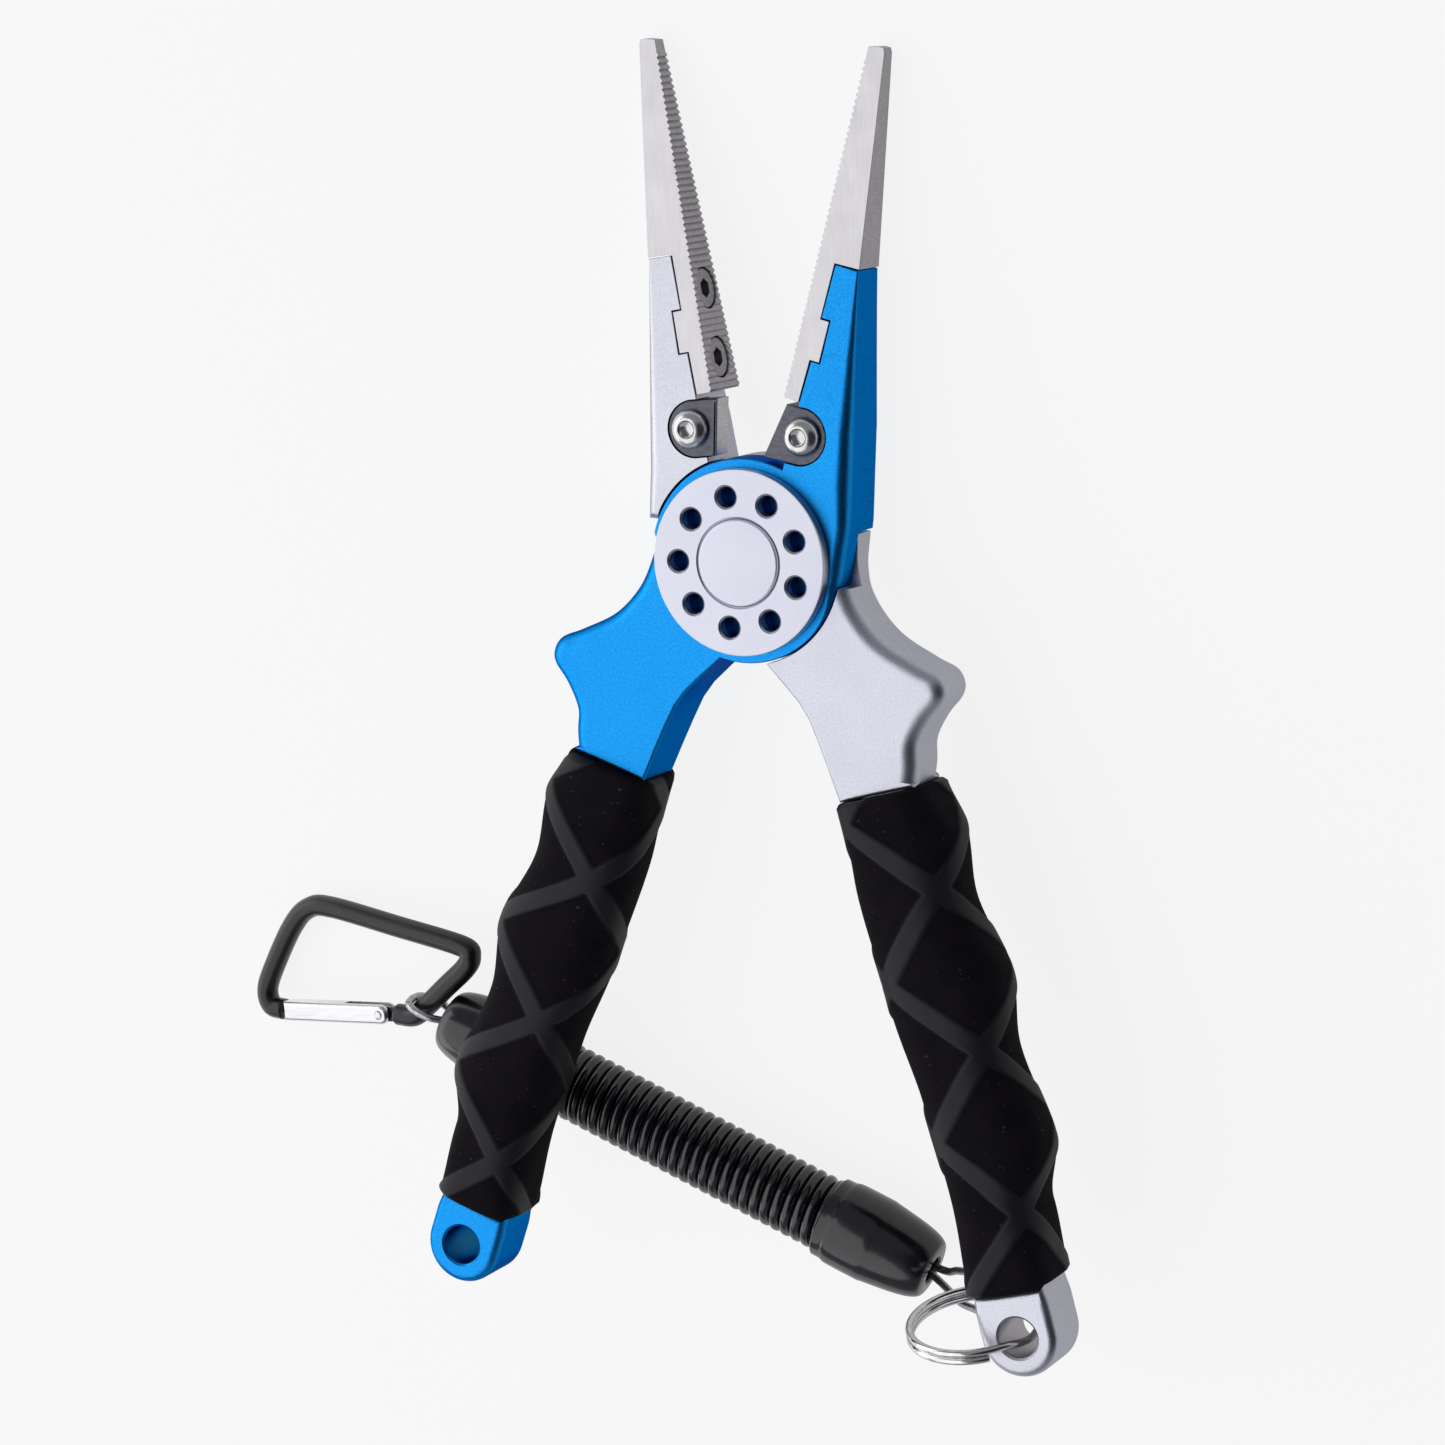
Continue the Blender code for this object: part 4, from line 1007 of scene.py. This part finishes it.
def make_coil(matrix):
    """The curly cord: a close helix between the two boots."""
    turns = (COIL_LENGTH + 2 * (COIL_ENTRY - 0.6) - CORD_DIAMETER) / CORD_DIAMETER
    radius = COIL_RADIUS - CORD_DIAMETER / 2
    first = -COIL_ENTRY + 0.6 + CORD_DIAMETER / 2
    count = int(turns * CORD_POINTS_PER_TURN)
    curve = bpy.data.curves.new("curly_cord", "CURVE")
    curve.dimensions = "3D"
    curve.bevel_depth = CORD_DIAMETER / 2 * MM
    curve.bevel_resolution = 5
    curve.use_fill_caps = True
    spline = curve.splines.new("POLY")
    spline.points.add(count)
    points = []
    for k in range(count + 1):
        angle = 2 * math.pi * k / CORD_POINTS_PER_TURN
        local = Vector((first + CORD_DIAMETER * k / CORD_POINTS_PER_TURN,
                        radius * math.cos(angle), radius * math.sin(angle))) * MM
        points.append(matrix @ local)
        spline.points[k].co = (*points[-1], 1)
    cord = add_object("curly_cord", curve)
    curve.materials.append(CORD)
    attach(cord, "lanyard")
    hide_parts("lanyard_coil")
    length = sum((b - a).length for a, b in zip(points, points[1:]))
    return cord, points, length


def make_lanyard():
    lanyard = (flat_move((RING_BOOT_END.x, RING_BOOT_END.y + ASSEMBLY_Y, BOOT_RADIUS))
               @ Matrix.Rotation(LANYARD_YAW, 4, "Z"))
    coil = lanyard @ flat_move((RING_BOOT_LENGTH, 0, 0))
    ring_end = coil @ Matrix.Rotation(math.pi, 4, "Z")
    clip_end = coil @ flat_move((COIL_LENGTH, 0, 0))
    parts = [make_boot("ring_boot_body", "ring_boot", RING_BOOT_LENGTH, ring_end),
             make_boot("clip_boot_body", "clip_boot", CLIP_BOOT_LENGTH + CLIP_BOOT_EXTRA,
                       clip_end)]
    length = RING_BOOT_LENGTH
    level, towards_ring = (0, 1, 0), (-0.344, 0.939, 0)
    parts.append(make_wire_loop("ring_loop_wire", "ring_loop", [
        ((length - 9, 0, 0), level, 0.7), ((length - 1, 0, 0), level, 0.7),
        ((length + 2.4, 0.4, 1.0), level, 1.2), ((length + 5.6, 2.3, 4.3), towards_ring, 2.5),
        ((length + 9.0, 5.2, 8.4), towards_ring, 2.75),
        ((length + 11.6, 6.2, 10.8), towards_ring, 1.9),
        ((length + 12.4, 6.5, 11.6), towards_ring, 0)], ring_end))
    length = CLIP_BOOT_LENGTH
    upright = (0, 0, 1)
    parts.append(make_wire_loop("clip_loop_wire", "clip_loop", [
        ((length - 9, 0, 0), upright, 0.7), ((length - 0.5, 0, 0), upright, 0.7),
        ((length + 2.2, 0, 0), upright, 1.5), ((length + 4.2, 0, 0), upright, 2.6),
        ((length + 6.6, 0, 0), upright, 2.8), ((length + 8.5, 0, 0), upright, 1.9),
        ((length + LOOP_REACH, 0, 0), upright, 0)], clip_end))
    cord, points, cord_length = make_coil(coil)
    parts += [NODES["ring_crimp"], NODES["clip_crimp"]]
    hook = lanyard @ (Vector((RING_BOOT_LENGTH + COIL_LENGTH + CLIP_BOOT_LENGTH + HOOK_DISTANCE,
                              0, 0)) * MM)
    clip = Matrix.Translation(hook) @ Matrix.Rotation(CLIP_TILT, 4, CLIP_AXIS)
    parts += make_carabiner(clip)


# ------------ carabiner

# The rod's middle line, from its tail in the hook's frame round to the nose
ROD_ROUTE = [(-5.4, -2.2), (-2.4, -1.9), (0, 0), (4.0, 3.95), (7.4, 7.3), (8.3, 9.3), (6.6, 10.7),
             (-6.0, 11.9), (-19.0, 13.0), (-23.6, 12.2), (-27.0, 8.6), (-30.9, 0.8),
             (-31.9, -2.7), (-30.9, -4.9), (-28.4, -5.15)]
GATE_PIN = Vector((-8.2, -2.5))
GATE_YAW = math.atan2(-0.131, -0.991)
GATE_LENGTH = 19.4


def make_carabiner(clip):
    """Rod with a tongue for the hinge, the forked gate and the rivet through both."""
    path = smooth_through([(*p, 0) for p in ROD_ROUTE], 10)
    gate_turn = Matrix.Rotation(GATE_YAW, 4, "Z")
    to_gate = clip @ flat_move((*GATE_PIN, 0)) @ gate_turn
    in_rod = Matrix.Translation((*GATE_PIN, 0)) @ gate_turn
    tongue = prism([(-3.6, 1.15), (-3.6, -1.15)] + arc((0, 0), 1.15, -90, 90, 16), 0.6, -0.6)
    hole = cylinder(CLIP_PIN_RADIUS + CLIP_PIN_GAP, 2, -2, 32)
    for shape in (tongue, hole):
        bmesh.ops.transform(shape, matrix=in_rod, verts=shape.verts)
    rod = piece("clip_rod", tube(path, ROD_RADIUS, 28, (0, 0, 1), 3), CLIP_PAINT, clip, "carabiner",
                ["carabiner_body"], [("UNION", tongue), ("DIFFERENCE", hole)],
                angle=45, weighted=False)
    outline = arc((0, 0), 1.55, 90, 270, 20)
    outline += [Vector((GATE_LENGTH, -1.55)), Vector((GATE_LENGTH, 1.55))]
    fork = block(-3, 7.5, -3, 3, 0.8, -0.8)
    pin_hole = cylinder(CLIP_PIN_RADIUS + CLIP_PIN_GAP, 3, -3, 32)
    gate = piece("clip_gate", slab(outline, 1.75, -1.75, [0.7] * len(outline), 6), GATE,
                 to_gate, "gate", ["carabiner_gate"], differences(fork, pin_hole))
    rivet = piece("clip_rivet", revolve([(0, 2.02), (0.35, 1.99), (CLIP_PIN_RADIUS, 1.85),
                                         (CLIP_PIN_RADIUS, -1.85), (0.35, -1.99), (0, -2.02)], 32),
                  BRIGHT, to_gate, "carabiner", ["gate_pin"], weighted=False)
    return [rod, gate, rivet, NODES["gate_spring"]]


# ------------ studio

def make_floor():
    """Pale paper with an even glow for the camera."""
    bm = bmesh.new()
    bmesh.ops.create_grid(bm, x_segments=1, y_segments=1, size=3000)
    floor = new_object("floor", bm)
    floor.location.z = -FLOOR_DROP
    surface = bpy.data.materials.new("floor_paper")
    surface.use_nodes = True
    nodes, links = surface.node_tree.nodes, surface.node_tree.links
    nodes.remove(nodes["Principled BSDF"])
    diffuse = add_node(nodes, "BsdfDiffuse", Color=FLOOR_COLOUR)
    glow = add_node(nodes, "Emission", Color=(1, 1, 1, 1))
    path = add_node(nodes, "LightPath")
    strength = add_node(nodes, "MapRange", To_Max=FLOOR_GLOW_SEEN)
    place = add_node(nodes, "TexCoord")
    parts = add_node(nodes, "SeparateXYZ")
    side = add_node(nodes, "MapRange", From_Min=FLOOR_GLOW_LEFT[0], To_Min=FLOOR_GLOW_LEFT[1],
                    From_Max=FLOOR_GLOW_RIGHT[0], To_Max=FLOOR_GLOW_RIGHT[1])
    links.new(place.outputs["Object"], parts.inputs[0])
    links.new(parts.outputs[0], side.inputs["Value"])
    links.new(side.outputs["Result"], strength.inputs["To Min"])
    links.new(path.outputs["Is Camera Ray"], strength.inputs["Value"])
    links.new(strength.outputs["Result"], glow.inputs["Strength"])
    add = add_node(nodes, "AddShader")
    links.new(diffuse.outputs[0], add.inputs[0])
    links.new(glow.outputs[0], add.inputs[1])
    links.new(add.outputs[0], nodes["Material Output"].inputs["Surface"])
    floor.data.materials.append(surface)


def make_world():
    """Pale studio, brightest low on the left, with a dark flag high on the right."""
    world = bpy.data.worlds.new("studio")
    bpy.context.scene.world = world
    world.use_nodes = True
    nodes, links = world.node_tree.nodes, world.node_tree.links
    background = nodes["Background"]
    place = add_node(nodes, "TexCoord")
    towards = add_node(nodes, "VectorMath")
    towards.operation = "DOT_PRODUCT"
    towards.inputs[1].default_value = FLAG_DIRECTION
    links.new(place.outputs["Generated"], towards.inputs[0])
    turn = add_node(nodes, "MapRange", From_Min=-1)
    links.new(towards.outputs["Value"], turn.inputs["Value"])
    ramp = add_node(nodes, "ValToRGB")
    ramp.color_ramp.interpolation = "EASE"
    elements = ramp.color_ramp.elements
    while len(elements) < len(WORLD_STOPS):
        elements.new(0.5)
    for element, (position, colour) in zip(elements, WORLD_STOPS):
        element.position = position
        element.color = (*colour, 1)
    links.new(turn.outputs["Result"], ramp.inputs["Fac"])
    path = add_node(nodes, "LightPath")
    mix = add_node(nodes, "Mix")
    mix.data_type = "RGBA"
    links.new(path.outputs["Is Camera Ray"], mix.inputs["Factor"])
    links.new(ramp.outputs["Color"], mix.inputs[6])
    mix.inputs[7].default_value = WORLD_SEEN
    links.new(mix.outputs[2], background.inputs["Color"])


def add_light(name, place, target, width, height, power):
    data = bpy.data.lights.new(name, "AREA")
    data.shape = "RECTANGLE"
    data.size = width
    data.size_y = height
    data.energy = power
    light = add_object(name, data)
    light.location = Vector(place)
    light.rotation_euler = (Vector(target) - Vector(place)).to_track_quat("-Z", "Y").to_euler()


def make_camera():
    data = bpy.data.cameras.new("camera")
    data.lens = CAMERA_LENS
    data.sensor_width = SENSOR_WIDTH
    data.clip_start = 0.01
    data.clip_end = 20.0
    camera = add_object("camera", data)
    turn = TOOL.to_3x3()
    forward = (turn @ CAMERA_FORWARD).normalized()
    up = (turn @ CAMERA_UP).normalized()
    right = forward.cross(up).normalized()
    up = right.cross(forward)
    basis = Matrix((right, up, -forward)).transposed().to_4x4()
    camera.matrix_world = Matrix.Translation(TOOL @ (CAMERA_AT * MM)) @ basis
    bpy.context.scene.camera = camera


def make_studio():
    make_floor()
    make_world()
    add_light("overhead", (-0.45, -0.17, 0.85), (0, -0.06, 0), 1.8, 1.1, 5.8)
    add_light("left_fill", (-0.78, 0.05, 0.28), (0, 0, 0.01), 1.4, 0.35, 2.0)
    bpy.context.scene.view_settings.view_transform = "Standard"
    make_camera()


# ------------ assembly

make_studio()
for side, hand, body, material in (("silver", 1, "silver_handle", SILVER),
                                   ("blue", -1, "blue_handle", BLUE)):
    make_half(side, hand, body, material)
    make_jaw(side, hand, body)
    make_cutter(side, hand, body)
    make_grip(side, hand, body)
make_pivot()
make_ring()
make_lanyard()
for name, material in (("pivot_screw", BRIGHT), ("pivot_bush", BRONZE), ("thrust_washer", BRONZE),
                       ("torsion_spring", BRIGHT), ("ring_crimp", BRIGHT), ("clip_crimp", BRIGHT),
                       ("gate_spring", BRIGHT)):
    NODES[name].data.materials.clear()
    NODES[name].data.materials.append(material)
    NODES[name].data.shade_smooth()
